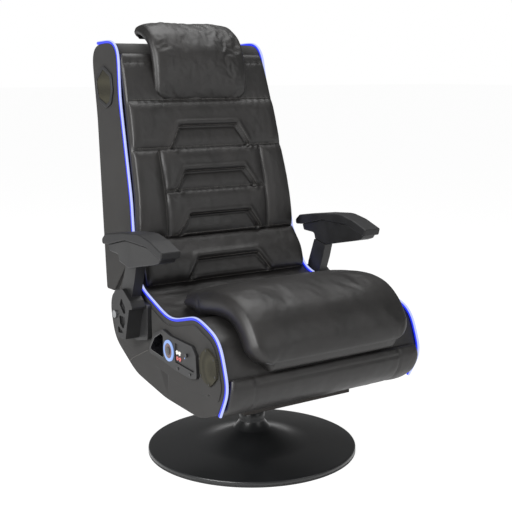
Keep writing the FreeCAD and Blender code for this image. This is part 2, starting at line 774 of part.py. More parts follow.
def fold_hinges():
    """Two butt hinges that lie shut in the split while the back is up."""
    seat_leaves, back_leaves, pins = [], [], []
    gap = size.body_gap
    near = size.hinge_knuckle_radius + 0.5
    for side in (1, -1):
        middle = f"{side} * hinge_spacing / 2"
        wide = "hinge_leaf_half_width"
        half = "hinge_knuckle_half"
        axis = {"y": "fold_axis_y", "z": "fold_axis_z"}
        hole = rod(f"hinge_hole_{side}", "hinge_pin_radius + running_gap", f"2 * {wide} + 8", "x",
                   x=f"{middle} - {wide} - 4", **axis)
        below = leaf_outline(near, size.hinge_leaf_length, -leaf_room, -gap / 2)
        web = leaf_outline(0, near + 1, -leaf_room, -gap / 2)
        seat_leaf = join(f"seat_leaf_solid_{side}",
                         plate(f"seat_leaf_{side}", below, f"{middle} - {wide}", f"{middle} + {wide}"),
                         plate(f"seat_web_{side}", web, f"{middle} - {half}", f"{middle} + {half}"),
                         rod(f"seat_knuckle_{side}", "hinge_knuckle_radius", f"2 * {half}", "x",
                             x=f"{middle} - {half}", **axis))
        seat_leaves.append(cut(f"seat_leaf_bored_{side}", seat_leaf, hole))
        above = leaf_outline(near, size.hinge_leaf_length, gap / 2, leaf_room)
        web = leaf_outline(0, near + 1, gap / 2, leaf_room)
        pieces = [plate(f"back_leaf_{side}", above, f"{middle} - {wide}", f"{middle} + {wide}")]
        for end in (1, -1):
            low = f"{middle} + {half} + body_gap" if end > 0 else f"{middle} - {wide}"
            high = f"{middle} + {wide}" if end > 0 else f"{middle} - {half} - body_gap"
            pieces.append(plate(f"back_web_{side}_{end}", web, low, high))
            pieces.append(rod(f"back_knuckle_{side}_{end}", "hinge_knuckle_radius", f"({high}) - ({low})", "x",
                              x=low, **axis))
        back_leaves.append(cut(f"back_leaf_bored_{side}", join(f"back_leaf_solid_{side}", *pieces), hole))
        pins.append(rod(f"hinge_pin_{side}", "hinge_pin_radius", f"2 * {wide} + 4", "x",
                        x=f"{middle} - {wide} - 2", **axis))
    keep(group("seat_leaves", seat_leaves), "seat_hinge_leaves")
    keep(group("back_leaves", back_leaves), "back_hinge_leaves")
    keep(group("pins", pins), "fold_hinge_pins")


BACK_SPEAKER_OUTLINE = [
    (363, 896, 12),
    (324, 930, 14),
    (278, 908, 14),
    (267, 868, 20),
    (275, 836, 12),
    (298, 826, 12),
    (346, 843, 14),
    (358, 868, 20),
]


def inset(corners, distance):
    """A closed outline, drawn anticlockwise, moved inwards by a distance."""
    return offset([corners[-1]] + corners + [corners[0]], distance)[1:-1]


def speakers():
    """Rings, meshes and drivers in the seat's sides, and the same behind the back's side grilles."""
    rings, meshes, seat_drivers = [], [], []
    frames, nets, back_drivers = [], [], []
    for side, word in ((1, "left"), (-1, "right")):
        outward, inward = outward_of(side), outward_of(-side)
        spot = {"y": "seat_speaker_y", "z": "seat_speaker_z"}
        face = f"{side} * (seat_half_width + side_trim)"
        ring = cut(f"ring_{word}", rod(f"ring_outer_{word}", "seat_speaker_radius", "speaker_rim", outward, x=face, **spot),
                   rod(f"ring_inner_{word}", "speaker_cone_radius", "speaker_rim", outward, x=face, **spot))
        mesh = rod(f"mesh_{word}", "speaker_cone_radius + 3 - running_gap", "side_trim + 2", inward, x=face, **spot)
        start = f"{side} * (seat_half_width - side_panel)"
        driver = join(f"seat_driver_{word}",
                      rod(f"flange_{word}", "speaker_cone_radius + 3 - running_gap", "5", inward, x=start, **spot),
                      rod(f"basket_{word}", "speaker_cone_radius - 8", "22", inward, x=start, **spot),
                      rod(f"magnet_{word}", "speaker_cone_radius - 13", "speaker_depth", inward, x=start, **spot))
        for pieces, piece in ((rings, ring), (meshes, mesh), (seat_drivers, driver)):
            pieces.append(placed(piece, splay(side)))

        rim_face = "back_half_width + back_speaker_rim"
        inner_edge = inset(BACK_SPEAKER_OUTLINE, BACK_SPEAKER_FRAME)
        frame = cut(f"grille_frame_{word}",
                    side_plate(f"grille_frame_block_{word}", BACK_SPEAKER_OUTLINE, "back_half_width", rim_face, side),
                    side_plate(f"grille_opening_{word}", inner_edge, "back_half_width - 5", f"{rim_face} + 5", side))
        net = side_plate(f"grille_mesh_{word}", inner_edge, "back_half_width", "back_half_width + 3", side)
        spot = {"y": "back_speaker_y", "z": "back_speaker_z"}
        start = f"{side} * (back_half_width - side_panel)"
        driver = join(f"back_driver_{word}",
                      rod(f"back_flange_{word}", "speaker_cone_radius + 3 - running_gap", "5", inward, x=start, **spot),
                      rod(f"back_magnet_{word}", "speaker_cone_radius - 13", "speaker_depth - 8", inward, x=start, **spot))
        for pieces, piece in ((frames, frame), (nets, net), (back_drivers, driver)):
            pieces.append(placed(piece, lean_in(side)))
    keep(group("rings", rings), "seat_speaker_rings")
    keep(group("meshes", meshes), "seat_speaker_meshes")
    keep(group("seat_drivers", seat_drivers), "seat_speaker_drivers")
    keep(group("frames", frames), "back_speaker_frames")
    keep(group("nets", nets), "back_speaker_meshes")
    keep(group("back_drivers", back_drivers), "back_speaker_drivers")


PANEL_OUTLINE = [
    (46, 274, 8),
    (16, 324, 10),
    (-32, 344, 12),
    (-70, 337, 20),
    (-172, 337, 10),
    (-190, 320, 8),
    (-194, 270, 8),
    (-164, 263, 8),
    (-97, 264, 8),
    (-34, 270, 14),
]
TRAY_OUTLINE = [
    (38, 282, 6),
    (12, 316, 6),
    (-22, 334, 5),
    (-36, 330, 5),
    (-36, 277, 6),
]
SOCKET_OUTLINE = [
    (-93, 283, 4),
    (-93, 327, 4),
    (-166, 327, 8),
    (-182, 314, 6),
    (-184, 281, 6),
]
JACKS = [(-99, 306), (-111, 306), (-101, 293), (-113, 293)]
PANEL_SCREWS = [(-106, 271), (-164, 272)]


def control_panel():
    """The housing on the sitter's right, with its dial, light ring, tray, sockets and buttons."""
    base = "seat_half_width + side_trim"
    face = f"{base} + panel_thickness"
    floor = f"{face} - 4"
    dial = {"y": "dial_y", "z": "dial_z"}
    power = {"y": "power_button_y", "z": "power_button_z"}
    jack_spots = [{"y": f"{y}", "z": f"{z}"} for y, z in JACKS]
    block = plate("panel_block", PANEL_OUTLINE, f"-({face})", f"-({base})")
    tray_hole = plate("panel_tray_hole", TRAY_OUTLINE, "-2 * seat_half_width", "-seat_half_width / 2")
    recess = plate("panel_recess", SOCKET_OUTLINE, f"-({face}) - 5", f"-({face}) + 3")
    ring_seat = rod("panel_ring_seat", "light_ring_radius + running_gap", "20", "-x", x=f"-({floor})", **dial)
    power_bore = rod("panel_power_bore", "power_button_radius + 2 * running_gap", "20", "-x",
                     x=f"-({base} + 1)", **power)
    holes = [rod(f"panel_jack_hole_{i}", "jack_radius + running_gap", "20", "-x", x=f"-({base} + 1)", **spot)
             for i, spot in enumerate(jack_spots)]
    housing = cut("panel", block, tray_hole, recess, ring_seat, power_bore, *holes)
    tray_end = "-(seat_half_width - side_panel) + tray_depth"
    tray = cut("tray", plate("tray_block", TRAY_OUTLINE, f"-({face})", tray_end),
               plate("tray_inside", inset(TRAY_OUTLINE, size.tray_wall), f"-({face}) - 5", f"{tray_end} - tray_wall"))
    jacks = [cut(f"jack_{i}", rod(f"jack_body_{i}", "jack_radius", "panel_thickness - 2.5", "-x",
                                  x=f"-({base} + 1)", **spot),
                 rod(f"jack_bore_{i}", "jack_radius / 2", "20", "-x", x=f"-({base} + 3)", **spot))
             for i, spot in enumerate(jack_spots)]
    screws = [rod(f"panel_screw_{i}", "panel_screw_radius", "1.6", "-x", x=f"-({face})", y=f"{y}", z=f"{z}")
              for i, (y, z) in enumerate(PANEL_SCREWS)]
    ring = cut("light_ring", rod("light_ring_outer", "light_ring_radius", "6", "-x", x=f"-({floor})", **dial),
               rod("light_ring_inner", "dial_radius + body_gap", "6", "-x", x=f"-({floor})", **dial))
    seat_of_dial = f"{floor} + body_gap"
    knob = cut("dial_knob", rod("dial_outer", "dial_radius", "dial_length", "-x", x=f"-({seat_of_dial})", **dial),
               rod("dial_bore", "dial_button_radius + 2 * running_gap", "dial_length", "-x",
                   x=f"-({seat_of_dial})", **dial))
    button = rod("dial_button_bar", "dial_button_radius", "dial_length - 1", "-x",
                 x=f"-({seat_of_dial} + dial_button_travel + 1)", **dial)
    power_bar = rod("power_bar", "power_button_radius", "panel_thickness - 2", "-x",
                    x=f"-({base} + 1 + power_button_travel + body_gap)", **power)
    leaning = splay(-1)
    keep(placed(housing, leaning), "control_housing")
    keep(placed(tray, leaning), "control_tray")
    keep(placed(group("jacks", jacks), leaning), "audio_jacks")
    keep(placed(group("screws", screws), leaning), "panel_screws")
    keep(placed(ring, leaning), "dial_light_ring")
    keep(placed(knob, leaning), "volume_dial")
    keep(placed(button, leaning), "dial_button")
    keep(placed(power_bar, leaning), "power_button")


MOUNT_OUTLINE = [
    (46, 302, 8),
    (44, 384, 8),
    (150, 392, 24),
    (166, 330, 30),
    (138, 294, 20),
    (96, 290, 10),
]
LOBE_OUTLINE = [
    (139, 299, 6),
    (133, 318, 6),
    (147, 348, 60),
    (153, 384, 24),
    (134, 410, 14),
    (96, 418, 10),
    (61, 395, 3),
    (48, 378, 4),
    (66, 374, 4),
    (76, 340, 40),
    (87, 298, 6),
]
TRUSS_OUTLINES = [
    [(112, 378, 4), (104, 396, 4), (86, 376, 4), (84, 362, 4), (94, 360, 4)],
    [(116, 352, 4), (113, 334, 4), (97, 322, 4), (86, 340, 4), (84, 352, 4)],
    [(123, 326, 3), (123, 310, 4), (101, 312, 4), (100, 316, 3)],
]
POST_OUTLINE = [
    (48, 475, 0),
    (58, 440, 60),
    (74, 398, 10),
    (74, 388, 0),
    (122, 388, 0),
    (119, 420, 60),
    (94, 484, 0),
]
ARM_BODY_OUTLINE = [
    (-98, 518, 3),
    (-90, 507, 8),
    (-72, 501, 12),
    (48, 475, 0),
    (94, 484, 6),
    (98, 500, 10),
    (142, 502, 5),
    (148, 517, 0),
    (60, 538, 40),
    (-40, 536, 50),
]
ARM_PAD_OUTLINE = [
    (-105, 516, 3),
    (-98, 518, 0),
    (-40, 536, 50),
    (60, 538, 40),
    (148, 517, 0),
    (172, 515, 5),
    (174, 527, 8),
    (158, 541, 14),
    (62, 555, 70),
    (-10, 561, 110),
    (-60, 551, 60),
    (-110, 533, 3),
]


def arms():
    """On each side a mount and pivot bolt on the seat, and the arm that flips up about it."""
    mounts, bolts = [], []
    pivot = {"y": "arm_pivot_y", "z": "arm_pivot_z"}
    lobe_in = "arm_mount_face + body_gap"
    for side, word in ((1, "left"), (-1, "right")):
        outward = outward_of(side)
        hole = rod(f"arm_hole_{word}", "arm_pivot_radius + running_gap", "arm_mount_face", outward,
                   x=f"{side} * arm_mount_face / 2", **pivot)
        flank = placed(side_plate(f"seat_flank_{word}", FLANK_OUTLINE, "0", "seat_half_width", side), splay(side))
        block = side_plate(f"arm_mount_block_{word}", MOUNT_OUTLINE, "arm_mount_face / 2", "arm_mount_face", side)
        mounts.append(cut(f"arm_mount_{word}", block, flank, hole))
        shank = rod(f"arm_shank_{word}", "arm_pivot_radius", "arm_lobe_outer + body_gap - arm_mount_face + arm_bolt_depth",
                    outward, x=f"{side} * (arm_mount_face - arm_bolt_depth)", **pivot)
        head = rod(f"arm_head_{word}", "arm_pivot_head", "4", outward, x=f"{side} * (arm_lobe_outer + body_gap)", **pivot)
        bolts.append(join(f"arm_bolt_{word}", shank, head))
        lobe = side_plate(f"lobe_{word}", LOBE_OUTLINE, lobe_in, "arm_lobe_outer", side)
        post = side_plate(f"post_{word}", POST_OUTLINE, lobe_in, "arm_post_outer", side)
        hollows = [side_plate(f"truss_{word}_{i}", outline, "arm_lobe_outer - truss_depth", "arm_lobe_outer + 5", side)
                   for i, outline in enumerate(TRUSS_OUTLINES)]
        link = cut(f"arm_link_{word}", join(f"arm_link_solid_{word}", lobe, post), hole, *hollows)
        keep(link, f"arm_link_{word}")
        keep(side_plate(f"arm_body_{word}", ARM_BODY_OUTLINE, "arm_body_inner", "arm_body_outer", side),
             f"arm_body_{word}")
        keep(side_plate(f"arm_pad_{word}", ARM_PAD_OUTLINE, "arm_pad_inner", "arm_pad_outer", side),
             f"arm_pad_{word}")
    keep(group("arm_mounts", mounts), "arm_mounts")
    keep(group("arm_bolts", bolts), "arm_pivot_bolts")


def write_parts():
    """Writes each kept sub-part, once all of them are whole."""
    doc.recompute()
    for thing in doc.Objects:
        if "Invalid" in thing.State or "Error" in thing.State:
            raise RuntimeError(f"{thing.Label} failed: {thing.State}")
    for thing in kept:
        if thing.Shape.isNull() or not thing.Shape.isValid() or not thing.Shape.Solids:
            raise RuntimeError(f"{thing.Label} has no valid solid")
    os.makedirs("parts", exist_ok=True)
    for thing in kept:
        thing.Shape.exportStep(f"parts/{thing.Label}.step")
        print(thing.Label, len(thing.Shape.Solids), round(thing.Shape.Volume))


pedestal()
flange_out = tilt_mechanism()
shanks = seat_carrier(flange_out)
core = seat(shanks)
seat_padding(core)
padded = back()
back_padding(padded)
back_rear()
fold_hinges()
speakers()
control_panel()
arms()
write_parts()
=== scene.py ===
import json
import math

import bmesh
import bpy
import numpy as np
from mathutils import Matrix, Vector, noise


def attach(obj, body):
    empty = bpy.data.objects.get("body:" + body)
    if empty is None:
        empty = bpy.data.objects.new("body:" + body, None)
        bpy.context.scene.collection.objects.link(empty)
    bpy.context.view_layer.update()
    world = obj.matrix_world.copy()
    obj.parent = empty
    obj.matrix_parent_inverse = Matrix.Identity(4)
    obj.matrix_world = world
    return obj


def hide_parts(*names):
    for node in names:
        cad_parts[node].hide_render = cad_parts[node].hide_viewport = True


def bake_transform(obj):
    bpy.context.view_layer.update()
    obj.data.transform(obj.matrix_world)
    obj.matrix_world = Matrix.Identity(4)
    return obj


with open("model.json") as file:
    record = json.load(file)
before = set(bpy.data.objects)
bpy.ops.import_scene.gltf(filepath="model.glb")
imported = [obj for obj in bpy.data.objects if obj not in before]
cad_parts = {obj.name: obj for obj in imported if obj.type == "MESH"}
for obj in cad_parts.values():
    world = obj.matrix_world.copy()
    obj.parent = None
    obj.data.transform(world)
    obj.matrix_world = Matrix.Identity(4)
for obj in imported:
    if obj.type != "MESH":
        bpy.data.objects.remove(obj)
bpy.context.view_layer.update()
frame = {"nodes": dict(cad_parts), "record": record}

MM = 0.001
BODY = {node: body for body, nodes in frame["record"]["behaviour"]["bodies"].items() for node in nodes}


# ---------- nodes and finishes ----------

def linear(code):
    """The linear colour of an sRGB hex value."""
    parts = [int(code[i:i + 2], 16) / 255 for i in (1, 3, 5)]
    return [c / 12.92 if c <= 0.04045 else ((c + 0.055) / 1.055) ** 2.4 for c in parts] + [1.0]


def add(tree, kind, props=None, values=None, links=None):
    """A node with its settings, its input values and its links."""
    made = tree.nodes.new(kind)
    for key, value in (props or {}).items():
        setattr(made, key, value)
    for key, value in (values or {}).items():
        made.inputs[key].default_value = value
    for key, source in (links or {}).items():
        tree.links.new(source, made.inputs[key])
    return made


def surface(name, values):
    """A material with its shader's own values set, and the place on the object in metres."""
    made = bpy.data.materials.new(name)
    made.use_nodes = True
    tree = made.node_tree
    shader = tree.nodes["Principled BSDF"]
    for key, value in values.items():
        shader.inputs[key].default_value = value
    place = add(tree, "ShaderNodeTexCoord").outputs["Object"]
    return made, tree, shader, place


def vary(tree, shader, place, scale, dark, light, rough, detail=4.0):
    """Patchy colour and roughness, as handling and moulding leave them."""
    patch = add(tree, "ShaderNodeTexNoise", values={"Scale": scale, "Detail": detail, "Roughness": 0.55},
                links={"Vector": place}).outputs["Fac"]
    ramp = add(tree, "ShaderNodeMapRange", values={"From Min": 0.3, "From Max": 0.7}, links={"Value": patch})
    mix = add(tree, "ShaderNodeMix", props={"data_type": "RGBA"}, links={0: ramp.outputs["Result"]})
    mix.inputs[6].default_value = linear(dark)
    mix.inputs[7].default_value = linear(light)
    tree.links.new(mix.outputs[2], shader.inputs["Base Color"])
    dull = add(tree, "ShaderNodeMapRange", values={"From Min": 0.3, "From Max": 0.7, "To Min": rough[0],
                                                   "To Max": rough[1]}, links={"Value": patch})
    tree.links.new(dull.outputs["Result"], shader.inputs["Roughness"])
    return mix


def roughen(tree, shader, heights):
    """Bumps laid over each other: each is a height, its depth in metres and its strength."""
    normal = None
    for height, depth, strength in heights:
        links = {"Height": height}
        if normal:
            links["Normal"] = normal
        bump = add(tree, "ShaderNodeBump", values={"Distance": depth, "Strength": strength}, links=links)
        normal = bump.outputs["Normal"]
    tree.links.new(normal, shader.inputs["Normal"])


def pu_leather():
    """Coated polyurethane leather: a close pebbled grain, a soft sheen and fine slack creases."""
    made, tree, shader, place = surface("polyurethane leather", {"IOR": 1.5, "Specular IOR Level": 0.55})
    vary(tree, shader, place, 11, "#191817", "#211f1e", (0.42, 0.52))
    grain = add(tree, "ShaderNodeTexVoronoi", props={"feature": "SMOOTH_F1"},
                values={"Scale": 620, "Smoothness": 0.4}, links={"Vector": place}).outputs["Distance"]
    slack = add(tree, "ShaderNodeTexNoise", values={"Scale": 46, "Detail": 3, "Distortion": 0.6},
                links={"Vector": place}).outputs["Fac"]
    roughen(tree, shader, [(slack, 0.0006, 0.25), (grain, 0.00035, 0.35)])
    return made


def welt_cord():
    """Cord covered in grey coated cloth: twill ribs drawn at 1.2 mm so that they show."""
    made, tree, shader, place = surface("grey welt cord", {"IOR": 1.48})
    vary(tree, shader, place, 60, "#3a3a3c", "#505052", (0.45, 0.6))
    ribs = add(tree, "ShaderNodeTexWave", props={"wave_type": "BANDS", "bands_direction": "DIAGONAL"},
               values={"Scale": 130, "Distortion": 0.3}, links={"Vector": place}).outputs["Fac"]
    roughen(tree, shader, [(ribs, 0.0004, 0.5)])
    return made


def side_cloth():
    """Flat-woven polyester on the sides: a matt plain weave, drawn at 1.4 mm so that it shows."""
    made, tree, shader, place = surface("plain weave polyester", {
        "IOR": 1.46, "Specular IOR Level": 0.3, "Sheen Weight": 0.12, "Sheen Roughness": 0.5})
    vary(tree, shader, place, 7, "#232221", "#2d2c2b", (0.75, 0.85))
    warp = add(tree, "ShaderNodeTexWave", props={"wave_type": "BANDS", "bands_direction": "Y"},
               values={"Scale": 110, "Distortion": 0.6, "Detail": 1}, links={"Vector": place}).outputs["Fac"]
    weft = add(tree, "ShaderNodeTexWave", props={"wave_type": "BANDS", "bands_direction": "Z"},
               values={"Scale": 110, "Distortion": 0.6, "Detail": 1}, links={"Vector": place}).outputs["Fac"]
    weave = add(tree, "ShaderNodeMath", props={"operation": "MULTIPLY"}, links={0: warp, 1: weft}).outputs[0]
    slack = add(tree, "ShaderNodeTexNoise", values={"Scale": 9, "Detail": 2}, links={"Vector": place}).outputs["Fac"]
    roughen(tree, shader, [(slack, 0.003, 0.3), (weave, 0.0003, 0.4)])
    return made


def moulded(name, dark, light, rough, grit, depth=0.00015, values=None):
    """A moulded polymer with the fine spark-eroded texture of its mould."""
    made, tree, shader, place = surface(name, values or {"IOR": 1.52})
    vary(tree, shader, place, 16, dark, light, rough)
    skin = add(tree, "ShaderNodeTexNoise", values={"Scale": grit, "Detail": 3, "Roughness": 0.6},
               links={"Vector": place}).outputs["Fac"]
    roughen(tree, shader, [(skin, depth, 0.5)])
    return made


def powder_coat():
    """Satin powder coat on spun steel: slight orange peel and a soft broad shine."""
    made, tree, shader, place = surface("satin powder coat", {"IOR": 1.5, "Coat Weight": 0.15, "Coat Roughness": 0.3})
    vary(tree, shader, place, 6, "#1c1d1e", "#242526", (0.32, 0.4))
    peel = add(tree, "ShaderNodeTexNoise", values={"Scale": 260, "Detail": 2}, links={"Vector": place}).outputs["Fac"]
    roughen(tree, shader, [(peel, 0.0002, 0.3)])
    return made


def brushed_steel():
    """Zinc-plated steel: a grey metal with drawn lines along it and duller patches."""
    made, tree, shader, place = surface("zinc plated steel", {"Metallic": 1.0})
    vary(tree, shader, place, 40, "#8e9092", "#b3b5b7", (0.28, 0.42))
    stretched = add(tree, "ShaderNodeMapping", values={"Scale": (40, 900, 900)}, links={"Vector": place})
    lines = add(tree, "ShaderNodeTexNoise", values={"Scale": 1.0, "Detail": 2},
                links={"Vector": stretched.outputs["Vector"]}).outputs["Fac"]
    roughen(tree, shader, [(lines, 0.0001, 0.3)])
    return made


def plywood():
    """Birch plywood under black stain: dark with long grain and fine pores."""
    made, tree, shader, place = surface("black stained birch plywood", {"IOR": 1.45})
    vary(tree, shader, place, 5, "#1f1b18", "#2c2622", (0.55, 0.7))
    stretched = add(tree, "ShaderNodeMapping", values={"Scale": (18, 300, 300)}, links={"Vector": place})
    lines = add(tree, "ShaderNodeTexNoise", values={"Scale": 1.0, "Detail": 4},
                links={"Vector": stretched.outputs["Vector"]}).outputs["Fac"]
    roughen(tree, shader, [(lines, 0.0002, 0.4)])
    return made


def light_tube(name, colour, strength):
    """Milky silicone lit from inside, a little uneven along its length where the lamps sit. Also used for a strip that
    glows without being a lamp, to paint a halo of light round a lit tube.
    """
    made, tree, shader, place = surface(name, {"Roughness": 0.4, "IOR": 1.41, "Emission Strength": strength})
    shader.inputs["Base Color"].default_value = linear("#262a3c")
    lamps = add(tree, "ShaderNodeTexNoise", values={"Scale": 18, "Detail": 1}, links={"Vector": place}).outputs["Fac"]
    mix = add(tree, "ShaderNodeMix", props={"data_type": "RGBA"}, links={0: lamps})
    mix.inputs[6].default_value = linear(colour[0])
    mix.inputs[7].default_value = linear(colour[1])
    tree.links.new(mix.outputs[2], shader.inputs["Emission Color"])
    return made


def grille_cloth():
    """Acoustic cloth on a disc: an open woven check, drawn at 2 mm, olive grey with dark holes."""
    made, tree, shader, place = surface("acoustic grille cloth", {"IOR": 1.46, "Specular IOR Level": 0.25})
    shader.inputs["Roughness"].default_value = 0.85
    turned = add(tree, "ShaderNodeMapping", values={"Rotation": (0.785, 0, 0)}, links={"Vector": place})
    holes = add(tree, "ShaderNodeTexVoronoi", props={"feature": "F1"}, values={"Scale": 430, "Randomness": 0.15},
                links={"Vector": turned.outputs["Vector"]}).outputs["Distance"]
    open_ = add(tree, "ShaderNodeMapRange", values={"From Min": 0.2, "From Max": 0.55}, links={"Value": holes})
    mix = add(tree, "ShaderNodeMix", props={"data_type": "RGBA"}, links={0: open_.outputs["Result"]})
    mix.inputs[6].default_value = linear("#171613")
    mix.inputs[7].default_value = linear("#3b392f")
    tree.links.new(mix.outputs[2], shader.inputs["Base Color"])
    roughen(tree, shader, [(holes, 0.0006, 0.8)])
    return made


def socket_plastic():
    """Nylon socket bodies, white in the upper row and red in the lower."""
    made, tree, shader, place = surface("coloured nylon sockets", {"Roughness": 0.35, "IOR": 1.53})
    height = add(tree, "ShaderNodeSeparateXYZ", links={"Vector": place}).outputs["Z"]
    upper = add(tree, "ShaderNodeMath", props={"operation": "GREATER_THAN"}, values={1: 0.2995}, links={0: height})
    mix = add(tree, "ShaderNodeMix", props={"data_type": "RGBA"}, links={0: upper.outputs[0]})
    mix.inputs[6].default_value = linear("#c56a66")
    mix.inputs[7].default_value = linear("#e9e7e2")
    tree.links.new(mix.outputs[2], shader.inputs["Base Color"])
    speck = add(tree, "ShaderNodeTexNoise", values={"Scale": 900}, links={"Vector": place}).outputs["Fac"]
    roughen(tree, shader, [(speck, 0.0001, 0.2)])
    return made


LEATHER = pu_leather()
WELT = welt_cord()
CLOTH = side_cloth()
ABS = moulded("black moulded plastic", "#191919", "#222223", (0.42, 0.55), 900)
ABS_ARM = moulded("charcoal moulded plastic", "#171717", "#1f1f20", (0.42, 0.55), 700)
PAD_SKIN = moulded("moulded foam skin", "#1a1a1b", "#232324", (0.48, 0.6), 500, 0.0003, {"IOR": 1.45})
GLOSS = moulded("polished black plastic", "#131315", "#1b1b1e", (0.12, 0.2), 300, 0.00004, {"IOR": 1.54})
RUBBER = moulded("black rubber", "#1d1d1d", "#282828", (0.7, 0.85), 500, 0.0002, {"IOR": 1.52})
DIAL = moulded("dark dial with a red sheen", "#2a1a1a", "#5a3a38", (0.25, 0.35), 600, 0.0001,
               {"IOR": 1.5, "Coat Weight": 0.3})
NYLON = moulded("bearing nylon", "#c9c6bd", "#d8d5cc", (0.45, 0.55), 500)
PAPER = moulded("speaker cone paper", "#1b1b1b", "#262525", (0.8, 0.9), 400, 0.0003)
COAT = powder_coat()
STEEL = brushed_steel()
BIRCH = plywood()
TUBE = light_tube("lit silicone tube", ("#b3bdff", "#ccd5ff"), 0.97)
# The halo is painted glow: an emitting deep blue strip round the lit tube that paints the blue light the tube throws on
# the cover beside it.
PAINTED_HALO = light_tube("painted blue halo", ("#1c2cff", "#2c42ff"), 1.0)
RING = light_tube("lit ring", ("#7fa6f5", "#b4cffb"), 0.9)
GRILLE = grille_cloth()
SOCKETS = socket_plastic()
THREAD = moulded("grey polyester thread", "#484643", "#5a5855", (0.6, 0.7), 2500)


# ---------- shapes ----------

def piece(name, verts, faces, material, smooth=True):
    """A closed mesh object with its faces pointing outwards."""
    mesh = bpy.data.meshes.new(name)
    mesh.from_pydata([tuple(v) for v in verts], [], faces)
    work = bmesh.new()
    work.from_mesh(mesh)
    bmesh.ops.remove_doubles(work, verts=work.verts, dist=1e-6)
    bmesh.ops.recalc_face_normals(work, faces=work.faces)
    for face in work.faces:
        face.smooth = smooth
    work.to_mesh(mesh)
    work.free()
    made = bpy.data.objects.new(name, mesh)
    bpy.context.collection.objects.link(made)
    mesh.materials.append(material)
    return made


def settle(made, name=None):
    """The object's modifiers or curve worked out into a plain mesh at the origin."""
    graph = bpy.context.evaluated_depsgraph_get()
    mesh = bpy.data.meshes.new_from_object(made.evaluated_get(graph))
    mesh.transform(made.matrix_world)
    label = name or made.name
    bpy.data.objects.remove(made)
    mesh.name = label
    plain = bpy.data.objects.new(label, mesh)
    bpy.context.collection.objects.link(plain)
    return plain


def bevelled(made, width, segments, angle):
    """The piece with every edge sharper than the angle rounded over, worked out."""
    bevel = made.modifiers.new("edges", "BEVEL")
    bevel.width = width * MM
    bevel.segments = segments
    bevel.limit_method = "ANGLE"
    bevel.angle_limit = math.radians(angle)
    bevel.harden_normals = True
    return settle(made)


def eased(node, name, material, width, segments=3, angle=38):
    """A CAD node again with its hard edges eased, for edges that catch the light."""
    mesh = frame["nodes"][node].data.copy()
    work = bmesh.new()
    work.from_mesh(mesh)
    bmesh.ops.remove_doubles(work, verts=work.verts, dist=2e-5)
    bmesh.ops.dissolve_limit(work, angle_limit=math.radians(1.5), verts=work.verts, edges=work.edges)
    for face in work.faces:
        face.smooth = True
    for edge in work.edges:
        edge.smooth = edge.calc_face_angle(0) < math.radians(30)
    work.to_mesh(mesh)
    work.free()
    made = bpy.data.objects.new(name, mesh)
    bpy.context.collection.objects.link(made)
    mesh.materials.clear()
    mesh.materials.append(material)
    made = bevelled(made, width, segments, angle)
    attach(made, BODY[node])
    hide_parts(node)
    return made


def spine(stations, rows):
    """An even run through stations of (y, z, half width) in mm, with closer rows at both ends."""
    points = np.array(stations, float)
    ends = np.vstack([2 * points[0] - points[1], points, 2 * points[-1] - points[-2]])
    dense = []
    for i in range(1, len(ends) - 2):
        t = np.linspace(0, 1, 40, endpoint=i == len(ends) - 3)[:, None]
        a, b, c, d = ends[i - 1], ends[i], ends[i + 1], ends[i + 2]
        dense.append(0.5 * (2 * b + (c - a) * t + (2 * a - 5 * b + 4 * c - d) * t ** 2
                            + (3 * b - a - 3 * c + d) * t ** 3))
    dense = np.vstack(dense)
    along = np.concatenate([[0], np.cumsum(np.hypot(*np.diff(dense[:, :2], axis=0).T))])
    even = np.linspace(-1, 1, rows)
    close = 0.5 + 0.5 * np.sign(even) * (1 - (1 - np.abs(even)) ** 1.35)
    s = close * along[-1]
    return s, *(np.interp(s, along, dense[:, k]) for k in range(3))


def quarter(distance, reach):
    """A quarter round that rises from 0 at a seam to 1 at its reach."""
    near = np.clip(np.asarray(distance, float) / reach, 0, 1)
    return np.sqrt(1 - (1 - near) ** 2)


def groove(distance, width):
    return np.exp(-(np.asarray(distance, float) / width) ** 2)


def to_line(x, z, a, b):
    """How far each point lies from the stretch a to b."""
    a, b = np.array(a, float), np.array(b, float)
    run = b - a
    t = np.clip(((x - a[0]) * run[0] + (z - a[1]) * run[1]) / (run @ run), 0, 1)
    return np.hypot(x - a[0] - t * run[0], z - a[1] - t * run[1])


def slack(x, s, size, seed):
    """Soft uneven waves, as slack cover shows: a height from -1 to 1 at each point."""
    flat = [noise.fractal(Vector((a / size, b / size, seed)), 0.6, 2.0, 3)
            for a, b in zip(np.ravel(x), np.ravel(s))]
    return np.clip(np.reshape(flat, np.shape(x)), -1, 1)


